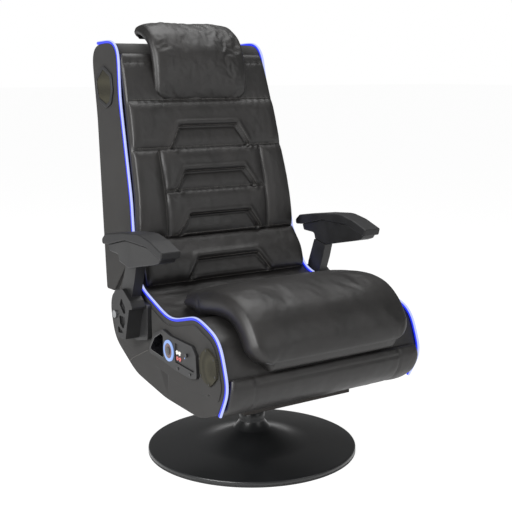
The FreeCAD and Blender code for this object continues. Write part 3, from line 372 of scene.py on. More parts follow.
def pad(name, stations, corners, thickness, height, rows, columns, material, side_swell=4.0, end_swell=(4.0, 4.0)):
    """A stuffed form over a spine: a crowned face, a border round it and a flat back.

    thickness is in mm, or gives it over the run s. corners are the radii of the face's
    two ends. height gives the crown in mm over (x, s, y, z, edge), where edge is the
    distance in from the seam round the face.
    Returns the object and the loop of points on that seam.
    """
    s, y, z, half = spine(stations, rows)
    total = s[-1]
    deep = thickness(s) if callable(thickness) else np.full(rows, float(thickness))
    cut = np.zeros_like(s)
    for far, radius in ((s, corners[0]), (total - s, corners[1])):
        inside = far < radius
        cut[inside] += radius - np.sqrt(np.maximum(radius ** 2 - (radius - far[inside]) ** 2, 0))
    width = half - cut
    ty, tz = np.gradient(y, s), np.gradient(z, s)
    length = np.hypot(ty, tz)
    ty, tz = ty / length, tz / length
    even = np.linspace(-1, 1, columns)
    across = np.sign(even) * (1 - (1 - np.abs(even)) ** 1.25)
    x = width[:, None] * across
    grid_s = np.repeat(s[:, None], columns, 1)
    grid_y, grid_z = np.repeat(y[:, None], columns, 1), np.repeat(z[:, None], columns, 1)
    edge = np.minimum(np.minimum(grid_s, total - grid_s), width[:, None] * (1 - np.abs(across)))
    crown = height(x, grid_s, grid_y, grid_z, edge) * np.minimum(edge / 3.0, 1)
    normal = np.stack([np.zeros_like(s), tz, -ty], 1)
    tangent = np.stack([np.zeros_like(s), ty, tz], 1)
    base = np.stack([x, grid_y, grid_z], 2)
    face = base + normal[:, None, :] * crown[:, :, None]
    rim = ([(0, j) for j in range(columns)] + [(i, columns - 1) for i in range(1, rows)]
           + [(rows - 1, j) for j in range(columns - 2, -1, -1)] + [(i, 0) for i in range(rows - 2, 0, -1)])
    verts = list(face.reshape(-1, 3))
    index = np.arange(rows * columns).reshape(rows, columns)
    faces = [(index[i, j], index[i, j + 1], index[i + 1, j + 1], index[i + 1, j])
             for i in range(rows - 1) for j in range(columns - 1)]
    rings = [[int(index[r]) for r in rim]]
    for depth, swell in ((0.12, 0.6), (0.35, 1.0), (0.65, 0.9), (1.0, 0.0)):
        ring = []
        for i, j in rim:
            out = np.zeros(3)
            if j in (0, columns - 1):
                out += np.array([1.0 if j else -1.0, 0, 0]) * side_swell
            if i == 0:
                out += -tangent[0] * end_swell[0]
            if i == rows - 1:
                out += tangent[-1] * end_swell[1]
            ring.append(len(verts))
            verts.append(base[i, j] + out * swell - normal[i] * deep[i] * depth)
        rings.append(ring)
    for upper, lower in zip(rings, rings[1:]):
        count = len(upper)
        faces += [(upper[k], lower[k], lower[(k + 1) % count], upper[(k + 1) % count]) for k in range(count)]
    last = dict(zip(rim, rings[-1]))
    under = np.empty((rows, columns), int)
    for i in range(rows):
        for j in range(columns):
            if (i, j) in last:
                under[i, j] = last[(i, j)]
            else:
                under[i, j] = len(verts)
                verts.append(base[i, j] - normal[i] * deep[i])
    faces += [(under[i, j], under[i + 1, j], under[i + 1, j + 1], under[i, j + 1])
              for i in range(rows - 1) for j in range(columns - 1)]
    made = piece(name, np.array(verts) * MM, [tuple(int(k) for k in f) for f in faces], material)
    return made, [face[i, j] * MM for i, j in rim]


def cord(name, points, radius, material, closed=False):
    """A round strip along points in metres."""
    curve = bpy.data.curves.new(name, "CURVE")
    curve.dimensions = "3D"
    curve.bevel_depth = radius * MM
    curve.bevel_resolution = 3
    curve.use_fill_caps = not closed
    line = curve.splines.new("POLY")
    line.points.add(len(points) - 1)
    for point, place in zip(line.points, points):
        point.co = (*place, 1)
    line.use_cyclic_u = closed
    made = bpy.data.objects.new(name, curve)
    bpy.context.collection.objects.link(made)
    curve.materials.append(material)
    made = settle(made, name)
    for face in made.data.polygons:
        face.use_smooth = True
    return made


def thin(points, gap):
    """The same line with its points at least a gap in mm apart."""
    kept = [Vector(points[0])]
    for place in points[1:]:
        if (Vector(place) - kept[-1]).length >= gap * MM:
            kept.append(Vector(place))
    return kept


def stitch_tree():
    """Short threads set along a curve: one every Pitch, each as long and as thick as named."""
    tree = bpy.data.node_groups.new("stitches", "GeometryNodeTree")
    face = tree.interface
    face.new_socket("Geometry", in_out="INPUT", socket_type="NodeSocketGeometry")
    for label, value in (("Pitch", 0.005), ("Length", 0.0034), ("Thickness", 0.0006)):
        face.new_socket(label, in_out="INPUT", socket_type="NodeSocketFloat").default_value = value
    face.new_socket("Geometry", in_out="OUTPUT", socket_type="NodeSocketGeometry")
    inputs = add(tree, "NodeGroupInput").outputs
    spots = add(tree, "GeometryNodeResampleCurve", props={"mode": "LENGTH"},
                links={"Curve": inputs["Geometry"], "Length": inputs["Pitch"]})
    aim = add(tree, "FunctionNodeAlignEulerToVector", props={"axis": "Z"},
              links={"Vector": add(tree, "GeometryNodeInputTangent").outputs[0]})
    thread = add(tree, "GeometryNodeMeshCylinder", values={"Vertices": 6},
                 links={"Radius": inputs["Thickness"], "Depth": inputs["Length"]})
    sewn = add(tree, "GeometryNodeInstanceOnPoints",
               links={"Points": spots.outputs["Curve"], "Instance": thread.outputs["Mesh"],
                      "Rotation": aim.outputs["Rotation"]})
    real = add(tree, "GeometryNodeRealizeInstances", links={"Geometry": sewn.outputs["Instances"]})
    done = add(tree, "GeometryNodeSetMaterial", values={"Material": THREAD},
               links={"Geometry": real.outputs["Geometry"]})
    add(tree, "NodeGroupOutput", links={"Geometry": done.outputs["Geometry"]})
    return tree


STITCHES = stitch_tree()


def sew(name, lines, body, pitch=5.0, length=3.2, thickness=0.55):
    """Rows of stitches along lines of points in metres, on one body."""
    curve = bpy.data.curves.new(name, "CURVE")
    curve.dimensions = "3D"
    for points in lines:
        line = curve.splines.new("POLY")
        line.points.add(len(points) - 1)
        for point, place in zip(line.points, points):
            point.co = (*place, 1)
    made = bpy.data.objects.new(name, curve)
    bpy.context.collection.objects.link(made)
    way = made.modifiers.new("stitches", "NODES")
    way.node_group = STITCHES
    for item in STITCHES.interface.items_tree:
        if item.in_out == "INPUT" and item.name in ("Pitch", "Length", "Thickness"):
            way[item.identifier] = {"Pitch": pitch, "Length": length, "Thickness": thickness}[item.name] * MM
    made = settle(made, name)
    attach(made, body)
    return made


# ---------- padding ----------

SIDE_SEAM = 146.0
TRAPEZOIDS = ((728, 779, 110, 82), (629, 670, 111, 85), (525, 567, 113, 85), (426, 463, 113, 86))


def sunk_panel(x, z, low, high, wide, narrow):
    """How far the cover dips round and inside a sewn panel with slanted sides."""
    lines = [((-wide, low), (-narrow, high)), ((-narrow, high), (narrow, high)), ((narrow, high), (wide, low))]
    near = np.min([to_line(x, z, a, b) for a, b in lines], axis=0)
    reach = (high - z) / (high - low)
    half = narrow + (wide - narrow) * reach
    inside = (np.abs(x) < half) & (z < high) & (z > low)
    dip = np.where(inside, 9.0 * (1 - 0.85 * np.clip(reach, 0, 1) ** 1.3) * quarter(near, 6), 0)
    return 6.5 * groove(near, 3.4) + dip - 3.5 * groove(near - 9, 6) * ~inside


def back_height(x, s, y, z, edge):
    middle = np.abs(x) < SIDE_SEAM
    seams = [(935, None), (842, None), (728, None), (627, True), (514, None)]
    rise = np.ones_like(x) * 99.0
    for seam, only_middle in seams:
        far = np.abs(z - seam)
        rise = np.minimum(rise, np.where(middle | (not only_middle), far, 99))
    rise = np.minimum(rise, np.where(z < 730, np.abs(np.abs(x) - SIDE_SEAM), 99))
    top = z > 842
    height = np.where(top, 4, 13) * quarter(rise, 30) * quarter(edge + 1, 34)
    for low, high, wide, narrow in TRAPEZOIDS[:3]:
        height = height - sunk_panel(x, z, low, high, wide, narrow)
    pucker = np.sin(x / 3.1 + 2 * slack(x, z, 40, 2.0)) * groove(rise, 9) * 0.5
    return height + 0.8 * slack(x, z * 0.7, 44, 5.0) * quarter(rise, 12) + pucker + 2


def lumbar_height(x, s, y, z, edge):
    height = 9 * quarter(np.abs(z - 413), 26) * quarter(edge, 20)
    height = height - sunk_panel(x, z, *TRAPEZOIDS[3])
    return height + 0.8 * slack(x, z, 40, 8.0) * quarter(edge, 12)


def seat_height(x, s, y, z, edge):
    height = 13 * quarter(edge, 75) + 3 * quarter(edge, 14)
    creases = 0
    for corner_x, corner_y, reach in ((-190, 430, 85), (190, 430, 85)):
        away = np.hypot(x - corner_x, s - corner_y)
        turn = np.arctan2(s - corner_y, x - corner_x)
        creases = creases + np.sin(turn * 15 + 2.5 * slack(x, s, 50, 3.0)) * groove(away - 45, reach / 2.4) * 0.6
    return height + creases * quarter(edge, 20) + 1.0 * slack(x * 0.8, s, 60, 1.0) * quarter(edge, 24)


def seat_depth(s):
    """The cushion's border: thin where it runs under the back, full from the arms forwards."""
    return 16 + 24 * np.clip(s / 95, 0, 1) ** 1.2


def apron_height(x, s, y, z, edge):
    seams = np.minimum(np.abs(np.abs(x) - 200), np.where(np.abs(x) < 200, np.abs(z - 272), 99))
    return 5 * quarter(edge, 25) - 2.4 * groove(seams, 3) + 1.0 * slack(x, z, 45, 4.0) * quarter(edge, 12)


def pillow_height(x, s, y, z, edge):
    folds = np.sin((s + 14 * slack(x, s, 60, 6.0)) / 7.5) * groove(s - 40, 34) * 1.1
    return (13 * quarter(edge, 58) + 3 * quarter(edge, 12) + folds * quarter(edge, 15)
            + 1.4 * slack(x, s, 42, 7.0) * quarter(edge, 15))


def inflate(made, cap):
    """Cloth under pressure, so that a stuffed form swells and its cover wrinkles, held within a cap in mm."""
    mesh = made.data
    start = np.empty(len(mesh.vertices) * 3)
    mesh.vertices.foreach_get("co", start)
    start = start.reshape(-1, 3)
    cloth = made.modifiers.new("cloth", "CLOTH")
    set_up = cloth.settings
    set_up.quality = 4
    set_up.use_pressure = True
    set_up.uniform_pressure_force = 2.5
    set_up.tension_stiffness = 25
    set_up.compression_stiffness = 8
    set_up.shear_stiffness = 10
    set_up.bending_stiffness = 0.6
    set_up.shrink_min = -0.03
    set_up.effector_weights.gravity = 0
    cloth.point_cache.frame_start = 1
    cloth.point_cache.frame_end = 14
    for step in range(1, 15):
        bpy.context.scene.frame_set(step)
    graph = bpy.context.evaluated_depsgraph_get()
    swollen = made.evaluated_get(graph).to_mesh()
    end = np.empty(len(swollen.vertices) * 3)
    swollen.vertices.foreach_get("co", end)
    made.evaluated_get(graph).to_mesh_clear()
    moved = end.reshape(-1, 3) - start
    far = np.linalg.norm(moved, axis=1)
    soft = cap * MM * np.tanh(far / (cap * MM))
    moved *= (soft / np.maximum(far, 1e-9))[:, None]
    made.modifiers.remove(cloth)
    bpy.context.scene.frame_set(1)
    mesh.vertices.foreach_set("co", (start + moved).ravel())
    mesh.update()


BACK_STATIONS = [(263, 957, 203), (250, 935, 207), (219, 842, 212), (188, 728, 218), (160, 627, 223),
                 (150, 560, 227), (149, 514, 229)]
LUMBAR_STATIONS = [(148, 516, 229), (128, 492, 230), (111, 470, 230), (103, 450, 230), (99, 430, 230),
                   (102, 412, 229)]
SEAT_STATIONS = [(4, 392, 180), (-20, 402, 190), (-60, 414, 197), (-110, 426, 204), (-165, 434, 205),
                 (-215, 434, 206), (-255, 421, 207), (-288, 394, 208), (-311, 357, 208), (-321, 318, 208)]
APRON_STATIONS = [(-300, 290, 255), (-305, 268, 259), (-301, 246, 259), (-289, 226, 257), (-267, 209, 254),
                  (-240, 197, 250)]
PILLOW_STATIONS = [(339, 1001, 121), (328, 1014, 124), (305, 1017, 126), (281, 1010, 127), (257, 995, 127.5),
                   (239, 972, 128), (227, 940, 128), (222, 905, 128), (222, 872, 127), (229, 845, 125)]

back_pad, _ = pad("back_padding", BACK_STATIONS, (6, 6), 12, back_height, 190, 150, LEATHER, 1.5, (2, 0))
lumbar, _ = pad("lumbar_padding", LUMBAR_STATIONS, (5, 5), 9, lumbar_height, 56, 120, LEATHER, 1, (0, 3))
cushion, cushion_seam = pad("seat_cushion_cover", SEAT_STATIONS, (10, 46), seat_depth, seat_height, 120, 90, LEATHER,
                            6, (5, 15))
apron, _ = pad("front_border", APRON_STATIONS, (3, 8), 12, apron_height, 44, 100, LEATHER, 2, (0, 2))
pillow, pillow_seam = pad("headrest_cover", PILLOW_STATIONS, (14, 26), 14, pillow_height, 100, 80, LEATHER,
                          2.5, (4, 4))

inflate(cushion, 5)
inflate(pillow, 4)

for made, body, nodes, fill in ((back_pad, "back", ["back_cushion"], 0.8), (cushion, "seat", ["seat_cushion"], 0.85),
                                (apron, "seat", ["front_apron"], 0.6),
                                (pillow, "back", ["headrest_pillow", "headrest_flap"], 0.7)):
    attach(made, body)
    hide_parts(*nodes)
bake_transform(lumbar)
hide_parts("lumbar_pad")

for name, seam, body, radius in (("cushion_welt", cushion_seam, "seat", 3.2),
                                 ("pillow_welt", pillow_seam, "back", 2.8)):
    welt = cord(name, thin([Vector(p) for p in seam], 4), radius, WELT, closed=True)
    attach(welt, body)


# ---------- seams ----------

def on_back(x, z, lift=0.5):
    """The point of the padding's face over x and z in mm, from its own shape."""
    place = Vector((x * MM, -1, z * MM))
    hit, spot, normal, _ = back_pad.ray_cast(place, Vector((0, 1, 0)))
    return spot + normal * lift * MM


def on_lumbar(x, z, lift=0.5):
    hit, spot, normal, _ = lumbar.ray_cast(Vector((x * MM, -1, z * MM)), Vector((0, 1, 0)))
    return spot + normal * lift * MM


def row(place_on, start, end, count=None):
    """Points on the padding from one (x, z) to another."""
    length = math.hypot(end[0] - start[0], end[1] - start[1])
    count = count or max(3, int(length / 6))
    return [place_on(start[0] + (end[0] - start[0]) * k / count, start[1] + (end[1] - start[1]) * k / count)
            for k in range(count + 1)]


rows = []
for low, high, wide, narrow in TRAPEZOIDS[:3]:
    for off in (4, 9):
        rows += [row(on_back, (-wide - off, low + 3), (-narrow - off, high)),
                 row(on_back, (wide + off, low + 3), (narrow + off, high))]
    rows.append(row(on_back, (-narrow, high + 5), (narrow, high + 5)))
for seam, reach in ((842, 196), (728, 202), (519, 212)):
    rows.append(row(on_back, (-reach, seam + 5), (reach, seam + 5)))
rows.append(row(on_back, (-140, 632), (140, 632)))
for side in (-1, 1):
    rows.append(row(on_back, (side * (SIDE_SEAM + 5), 524), (side * (SIDE_SEAM + 5), 722)))
sew("back_stitches", rows, "back")

rows = []
low, high, wide, narrow = TRAPEZOIDS[3]
for side in (-1, 1):
    rows.append(row(on_lumbar, (side * (wide + 5), low), (side * (narrow + 5), high)))
rows.append(row(on_lumbar, (-narrow, high + 4), (narrow, high + 4)))
rows.append(row(on_lumbar, (-215, 417), (215, 417)))
sew("lumbar_stitches", rows, "seat", pitch=4.6, thickness=0.7)


# ---------- the sides, the shells and the lit lines ----------

# Side view corners (y, z, radius of the round) from the front upwards, as the frame has them.
SEAT_FRONT = [(-266, 208, 18), (-300, 270, 42), (-266, 367, 62), (-170, 394, 70), (-44, 360, 150), (112, 410, 60)]
SEAT_OUTLINE = SEAT_FRONT + [(150.3, 487.7, 4), (237.2, 380.4, 8), (276, 371, 22), (287, 335, 50), (264, 258, 70),
                             (140, 198, 150), (-20, 178, 150), (-185, 178, 80)]
BACK_FRONT = [(176, 612, 300), (247, 850, 300), (266, 985, 48), (399, 979, 40)]
BACK_OUTLINE = [(153.7, 490.4, 4)] + BACK_FRONT + [(354, 800, 300), (281, 381, 8), (241.8, 381.6, 8)]
TRAY_OUTLINE = [(38, 282, 6), (12, 316, 6), (-22, 334, 5), (-36, 330, 5), (-36, 277, 6)]
FOLD_Y, HALF, SPLAY = 152.0, 243.0, math.radians(3.6)
BACK_HALF, BACK_HEIGHT, TAPER = 221.5, 840.0, math.radians(3.03)
TUBE_RADIUS = 4.0
SEAT_FOLD, SEAT_HEEL = (150.3, 487.7), (237.2, 380.4)
BACK_FOLD, BACK_HEEL, BACK_FOOT = (153.7, 490.4), (241.8, 381.6), (281, 381)


def on_flank(side, y, z, out):
    """A point in metres on the splayed side of the seat, drawn at y and z, standing out in mm."""
    turn = Matrix.Rotation(side * SPLAY, 3, "Z")
    return (turn @ Vector((side * out, y - FOLD_Y, 0)) + Vector((side * HALF, FOLD_Y, z))) * MM


def on_wing(side, y, z, out):
    """A point in metres on the tapered side of the back, drawn at y and z, standing out in mm."""
    turn = Matrix.Rotation(-side * TAPER, 3, "Y")
    return (turn @ Vector((side * out, y, z - BACK_HEIGHT)) + Vector((side * BACK_HALF, 0, BACK_HEIGHT))) * MM


def rounded(corners, closed=True, step=4.0):
    """The corners joined by straight runs and tangent arcs, as points a step apart."""
    count = len(corners)
    points = []
    for k, (y, z, radius) in enumerate(corners):
        here = np.array([y, z], float)
        if not closed and k in (0, count - 1):
            points.append(here)
            continue
        before = np.array(corners[k - 1][:2], float) - here
        after = np.array(corners[(k + 1) % count][:2], float) - here
        lengths = np.linalg.norm(before), np.linalg.norm(after)
        before, after = before / lengths[0], after / lengths[1]
        half = math.acos(np.clip(before @ after, -1, 1)) / 2
        reach = min(radius / math.tan(half), 0.49 * min(lengths))
        start, end = here + before * reach, here + after * reach
        arcs = max(2, int(2 * reach / step))
        points += [(1 - t) ** 2 * start + 2 * t * (1 - t) * here + t * t * end for t in np.linspace(0, 1, arcs)]
    points = np.array(points + ([points[0]] if closed else []))
    along = np.concatenate([[0], np.cumsum(np.hypot(*np.diff(points, axis=0).T))])
    even = np.linspace(0, along[-1], int(along[-1] / step) + 1)
    line = np.stack([np.interp(even, along, points[:, k]) for k in (0, 1)], 1)
    return line[:-1] if closed else line


def flowing(line, closed, hold=(), spread=5):
    """The line with its bends run together, but held near the given corners and at open ends."""
    kernel = np.exp(-np.linspace(-2, 2, 4 * spread + 1) ** 2)
    kernel /= kernel.sum()
    wrap = 2 * spread
    padded = np.vstack([line[-wrap:], line, line[:wrap]]) if closed else np.vstack(
        [2 * line[0] - line[wrap:0:-1], line, 2 * line[-1] - line[-2:-wrap - 2:-1]])
    soft = np.stack([np.convolve(padded[:, k], kernel, "valid") for k in (0, 1)], 1)
    keep = np.zeros(len(line))
    for corner in hold:
        keep = np.maximum(keep, groove(np.hypot(*(line - np.array(corner)).T), 26))
    return soft * (1 - keep[:, None]) + line * keep[:, None]


def outwards(line, closed):
    """The direction out of the outline at each of its points."""
    ahead = np.roll(line, -1, 0) - np.roll(line, 1, 0) if closed else np.gradient(line, axis=0)
    out = np.stack([-ahead[:, 1], ahead[:, 0]], 1)
    return out / np.linalg.norm(out, axis=1)[:, None]


def shell(name, line, place, material, body, inset=5.0, columns=70, crown=1.2, waves=1.0, seed=0.0):
    """Upholstery stretched from one side to the other over an outline."""
    out = outwards(line, True)
    across = np.linspace(-1, 1, columns)
    count = len(line)
    left = np.array([place(1, y, z, -inset) for y, z in line]) / MM
    right = np.array([place(-1, y, z, -inset) for y, z in line]) / MM
    grid = right[None] + (left - right)[None] * ((across + 1) / 2)[:, None, None]
    swell = crown * (1 - across ** 6)[:, None] + waves * slack(grid[:, :, 0] * 0.6, grid[:, :, 1] + grid[:, :, 2], 55,
                                                               seed) * (1 - across ** 10)[:, None]
    grid[:, :, 1] += out[None, :, 0] * swell
    grid[:, :, 2] += out[None, :, 1] * swell
    faces = [(j * count + i, j * count + (i + 1) % count, (j + 1) * count + (i + 1) % count, (j + 1) * count + i)
             for j in range(columns - 1) for i in range(count)]
    faces += [tuple(range(count)), tuple(range((columns - 1) * count, columns * count))]
    made = piece(name, grid.reshape(-1, 3) * MM, faces, material)
    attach(made, body)
    return made


def slab(name, line, place, side, low, high, material, edge=1.6):
    """A flat panel on one side of the chair, its edges eased."""
    count = len(line)
    verts = [place(side, y, z, out) for out in (low, high) for y, z in line]
    faces = [(i, (i + 1) % count, count + (i + 1) % count, count + i) for i in range(count)]
    faces += [tuple(range(count)), tuple(range(count, 2 * count))]
    return bevelled(piece(name, verts, faces, material), edge, 3, 50)


def bored(made, tool):
    """A piece with a pocket cut by another, which goes."""
    cut = made.modifiers.new("pocket", "BOOLEAN")
    cut.operation = "DIFFERENCE"
    cut.object = tool
    cut.solver = "EXACT"
    made = settle(made)
    bpy.data.objects.remove(tool)
    return made


def seat_line(corners, closed=True):
    return flowing(rounded(corners, closed), closed, hold=(SEAT_FOLD, SEAT_HEEL))


def back_line(corners, closed=True):
    return flowing(rounded(corners, closed), closed, hold=(BACK_FOLD, BACK_HEEL, BACK_FOOT))


seat_side_line = seat_line(SEAT_OUTLINE)
back_side_line = back_line(BACK_OUTLINE)
tray_line = rounded(TRAY_OUTLINE, True, 2.0)
seat_shell = shell("seat_shell", seat_side_line, on_flank, LEATHER, "seat", crown=0.8, waves=1.6, seed=2.0)
seat_shell = bored(seat_shell, slab("pocket_tool", tray_line, on_flank, -1, -30, 14, LEATHER, 0.2))
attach(seat_shell, "seat")
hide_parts("seat_body")
back_shell = shell("back_shell", back_side_line, on_wing, CLOTH, "back", crown=0.8, waves=0.8, seed=4.0)
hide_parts("back_body")
for side, word in ((1, "left"), (-1, "right")):
    flank = slab(f"seat_flank_{word}", seat_side_line, on_flank, side, -5, 0, CLOTH)
    if side < 0:
        flank = bored(flank, slab("pocket_tool", tray_line, on_flank, -1, -30, 14, CLOTH, 0.2))
    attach(flank, "seat")
    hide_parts(f"seat_side_{word}")
    wing = slab(f"back_wing_{word}", back_side_line, on_wing, side, -5, 0, CLOTH)
    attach(wing, "back")
    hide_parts(f"back_side_{word}")

    foot = seat_line(SEAT_FRONT + [(*SEAT_FOLD, 4)], closed=False)
    top = back_line([(*BACK_FOLD, 0)] + BACK_FRONT[:3] + [(379, 980, 0)], closed=False)[:-3]
    foot_out, top_out = outwards(foot, False), outwards(top, False)
    lift = TUBE_RADIUS + 0.2
    run = [on_flank(side, y + oy * lift, z + oz * lift, -TUBE_RADIUS)
           for (y, z), (oy, oz) in zip(foot[:-4], foot_out[:-4])]
    run += [on_wing(side, y + oy * lift, z + oz * lift, -TUBE_RADIUS)
            for (y, z), (oy, oz) in zip(top[5:], top_out[5:])]
    tube = cord(f"light_line_{word}", run, TUBE_RADIUS - 0.6, TUBE)
    # A wider strip set just inside the tube, in painted blue glow: it paints the halo of the tube's light on the cover
    # beside it, and is no lamp.
    inner = [on_flank(side, y + oy * (lift - 1.4), z + oz * (lift - 1.4), -TUBE_RADIUS)
             for (y, z), (oy, oz) in zip(foot[:-4], foot_out[:-4])]
    inner += [on_wing(side, y + oy * (lift - 1.4), z + oz * (lift - 1.4), -TUBE_RADIUS)
              for (y, z), (oy, oz) in zip(top[5:], top_out[5:])]
    wall = cord(f"painted_halo_{word}", inner, TUBE_RADIUS, PAINTED_HALO)
    for line in (tube, wall):
        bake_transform(line)
    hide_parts(f"seat_light_{word}", f"back_light_{word}")

for node, name, width in (("side_trim_left", "flank_trim_left", 1.0), ("side_trim_right", "flank_trim_right", 1.0),
                          ("rear_cover", "rear_panel", 1.2)):
    eased(node, name, CLOTH, width)

for side in ("left", "right"):
    for part in ("arm_link", "arm_body", "arm_pad"):
        width = {"arm_link": 2.2, "arm_body": 4.0, "arm_pad": 5.0}[part]
        eased(f"{part}_{side}", f"{part}_{side}_eased", PAD_SKIN if part == "arm_pad" else ABS_ARM, width, 4)
eased("arm_mounts", "arm_mounts_eased", ABS, 2.0)
eased("control_housing", "control_housing_eased", ABS, 1.2)
eased("tilt_housing", "tilt_housing_eased", COAT, 1.5)
eased("tilt_top_plate", "tilt_plate_eased", COAT, 1.2)
eased("back_speaker_frames", "back_speaker_frames_eased", ABS, 1.5)


# ---------- pedestal ----------

def lathe(name, profile, material, turns=128):
    """A round wall from a closed profile of (radius, height) in mm."""
    verts, faces = [], []
    count = len(profile)
    for k in range(turns):
        angle = 2 * math.pi * k / turns
        verts += [(r * math.cos(angle) * MM, r * math.sin(angle) * MM, h * MM) for r, h in profile]
    for k in range(turns):
        here, there = k * count, (k + 1) % turns * count
        faces += [(here + i, there + i, there + (i + 1) % count, here + (i + 1) % count) for i in range(count)]
    return piece(name, verts, faces, material)


def bowed(a, b, c, count):
    """Points on a quadratic curve from a to c, drawn towards b."""
    return [tuple((1 - t) ** 2 * np.array(a) + 2 * t * (1 - t) * np.array(b) + t * t * np.array(c))
            for t in np.linspace(0, 1, count)]


outer = ([(255, 4), (255, 9)] + bowed((255, 9), (255, 13), (250, 13.4), 5)[1:]
         + bowed((150, 19.5), (120, 21), (95, 31.4), 12) + bowed((50, 50), (31, 58), (31, 78), 10) + [(31, 108)])
inner = [(29, 108), (29, 76), (48, 48), (94, 29.4), (120, 19), (150, 17.5), (250, 11.4), (253, 9), (253, 4)]
skirt = lathe("pedestal_skirt", outer + inner, COAT)
for edge in skirt.data.edges:
    edge.use_edge_sharp = False
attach(skirt, "base")
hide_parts("base_trumpet")


# ---------- speakers in the seat's sides ----------

def disc(name, side, y, z, outline, low, high, material, dome=0.0):
    """A thin body over the seat's side, its outline given round the point (y, z)."""
    count = len(outline)
    verts = [on_flank(side, y + a, z + b, low) for a, b in outline]
    verts += [on_flank(side, y + a, z + b, high) for a, b in outline]
    verts += [on_flank(side, y + a * 0.5, z + b * 0.5, high + dome * 0.75) for a, b in outline]
    verts += [on_flank(side, y, z, low), on_flank(side, y, z, high + dome)]
    faces = []
    for k in range(count):
        n = (k + 1) % count
        faces += [(k, n, count + n, count + k), (count + k, count + n, 2 * count + n, 2 * count + k),
                  (2 * count + k, 2 * count + n, 3 * count + 1), (n, k, 3 * count)]
    made = piece(name, verts, faces, material)
    for face in made.data.polygons:
        face.use_smooth = face.index % 4 == 2
    return made


def scallop(radius, depth, ears, count=144):
    """A round outline with ears where its screws sit."""
    turns = [2 * math.pi * k / count for k in range(count)]
    reach = [radius - depth * (1 - abs(math.cos(ears * t / 2)) ** 6) for t in turns]
    return [(r * math.cos(t + GRILLE_TURN), r * math.sin(t + GRILLE_TURN)) for r, t in zip(reach, turns)]


GRILLE_SPOT, GRILLE_TURN, SCREWS = (-238, 306), 0.35, 6
LAMP_SPOT, KNOB_SPOT = (-134, 301), (-63, 302)

for side, word in ((1, "left"), (-1, "right")):
    shown = disc(f"seat_grille_{word}", side, *GRILLE_SPOT, scallop(40, 3.0, SCREWS), 1.0, 8.6, GRILLE, 2.0)
    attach(shown, "seat")
    for k in range(SCREWS):
        turn = 2 * math.pi * k / SCREWS + GRILLE_TURN
        spot = [(2.4 * math.cos(a * math.pi / 8), 2.4 * math.sin(a * math.pi / 8)) for a in range(16)]
        screw = disc(f"grille_screw_{word}_{k}", side, GRILLE_SPOT[0] + 35.6 * math.cos(turn),
                     GRILLE_SPOT[1] + 35.6 * math.sin(turn), spot, 8.0, 9.8, ABS)
        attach(screw, "seat")
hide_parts("seat_speaker_rings", "seat_speaker_meshes")


# ---------- sewn lines on the flanks, the panel's lamp, the knob and its button ----------

for side, word in ((1, "left"), (-1, "right")):
    line = [on_flank(side, y, z, 0.4) for y, z in ((172, 220), (150, 234), (115, 249), (88, 262), (65, 272))]
    seam = cord(f"flank_seam_{word}", line, 0.8, THREAD)
    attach(seam, "seat")

lamp = disc("panel_lamp", -1, *LAMP_SPOT, [(1.6 * math.cos(a), 1.6 * math.sin(a)) for a in np.linspace(0, 5.9, 16)],
            7.2, 8.4, RING)
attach(lamp, "seat")

dial = disc("volume_knob", -1, *KNOB_SPOT, [(17 * math.cos(a), 17 * math.sin(a)) for a in np.linspace(0, 6.2, 64)],
            7.2, 12.5, DIAL, 0.6)
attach(dial, "dial")
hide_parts("volume_dial")
cap = disc("dial_cap", -1, *KNOB_SPOT, [(9.5 * math.cos(a), 9.5 * math.sin(a)) for a in np.linspace(0, 6.2, 48)],
           12.6, 14.0, GLOSS, 0.4)
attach(cap, "dial_button")
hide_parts("dial_button")


# ---------- finishes of the CAD nodes that stay ----------

STAYS = {
    "base_floor_ring": RUBBER, "pedestal_column": COAT, "swivel_bush": NYLON, "swivel_spindle": STEEL,
    "tilt_axle": STEEL, "tilt_torsion_rubber": RUBBER, "tilt_stop_bumper": RUBBER, "tilt_plate_bolts": STEEL,
    "seat_board": BIRCH, "seat_hinge_leaves": STEEL,
    "fold_hinge_pins": STEEL, "seat_speaker_drivers": PAPER, "control_tray": GLOSS, "audio_jacks": SOCKETS,
    "panel_screws": COAT, "dial_light_ring": RING, "arm_pivot_bolts": STEEL,
    "woofer_ring": ABS, "woofer_mesh": GRILLE, "woofer_driver": PAPER,
    "back_hinge_leaves": STEEL, "back_speaker_meshes": GRILLE, "back_speaker_drivers": PAPER,
    "power_button": GLOSS,
}
for node, material in STAYS.items():
    shown = frame["nodes"][node]
    shown.data.materials.clear()
    shown.data.materials.append(material)


# ---------- studio ----------

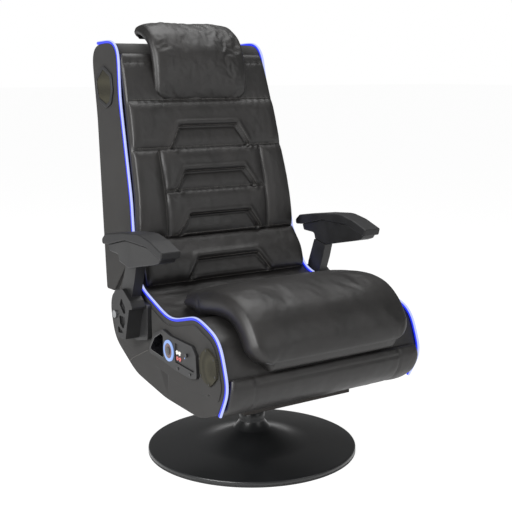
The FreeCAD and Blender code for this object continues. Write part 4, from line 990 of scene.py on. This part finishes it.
def studio():
    """A pale floor, soft lamps and the photograph's camera."""
    floor = piece("studio_floor", [(-60, -60, 0), (60, -60, 0), (60, 60, 0), (-60, 60, 0)], [(0, 1, 2, 3)], None, False)
    floor.data.materials.clear()
    made, tree, shader, place = surface("studio paper", {"Roughness": 0.9})
    shader.inputs["Base Color"].default_value = linear("#f2f2f2")
    path = add(tree, "ShaderNodeLightPath")
    seen = add(tree, "ShaderNodeMath", props={"operation": "MAXIMUM"},
               links={0: path.outputs["Is Camera Ray"], 1: path.outputs["Is Glossy Ray"]})
    share = add(tree, "ShaderNodeMath", props={"operation": "MULTIPLY"}, values={1: 0.82}, links={0: seen.outputs[0]})
    glow = add(tree, "ShaderNodeEmission", values={"Color": (1, 1, 1, 1), "Strength": 1.16})
    blend = add(tree, "ShaderNodeMixShader", links={0: share.outputs[0], 1: shader.outputs[0], 2: glow.outputs[0]})
    tree.links.new(blend.outputs[0], tree.nodes["Material Output"].inputs["Surface"])
    floor.data.materials.append(made)

    world = bpy.data.worlds.new("studio")
    bpy.context.scene.world = world
    world.use_nodes = True
    tree = world.node_tree
    path = add(tree, "ShaderNodeLightPath")
    seen = add(tree, "ShaderNodeMath", props={"operation": "MAXIMUM"},
               links={0: path.outputs["Is Camera Ray"], 1: path.outputs["Is Transmission Ray"]})
    level = add(tree, "ShaderNodeMapRange", values={"To Min": 0.17, "To Max": 1.0}, links={"Value": seen.outputs[0]})
    sky = tree.nodes["Background"]
    sky.inputs["Color"].default_value = (1, 1, 1, 1)
    tree.links.new(level.outputs["Result"], sky.inputs["Strength"])

    for name, place, aim, size, power in (("key", (-3.0, -1.1, 1.9), (0, 0, 0.6), 1.8, 150),
                                          ("front", (1.2, -3.0, 1.7), (0, 0, 0.5), 1.6, 18),
                                          ("top", (0.4, 0.3, 3.0), (0, 0.1, 0.6), 2.0, 50)):
        lamp = bpy.data.lights.new(name, "AREA")
        lamp.shape = "SQUARE"
        lamp.size = size
        lamp.energy = power
        held = bpy.data.objects.new(name, lamp)
        held.location = place
        held.rotation_euler = (Vector(aim) - Vector(place)).to_track_quat("-Z", "Y").to_euler()
        bpy.context.collection.objects.link(held)

    view = bpy.data.cameras.new("camera")
    view.lens = 71.50
    view.sensor_width = 36
    held = bpy.data.objects.new("camera", view)
    held.location = (-1.35997, -1.97210, 0.91105)
    held.rotation_euler = Vector((0.56206, 0.80786, -0.17733)).to_track_quat("-Z", "Y").to_euler()
    bpy.context.collection.objects.link(held)
    bpy.context.scene.camera = held
    bpy.context.scene.view_settings.view_transform = "Standard"


studio()
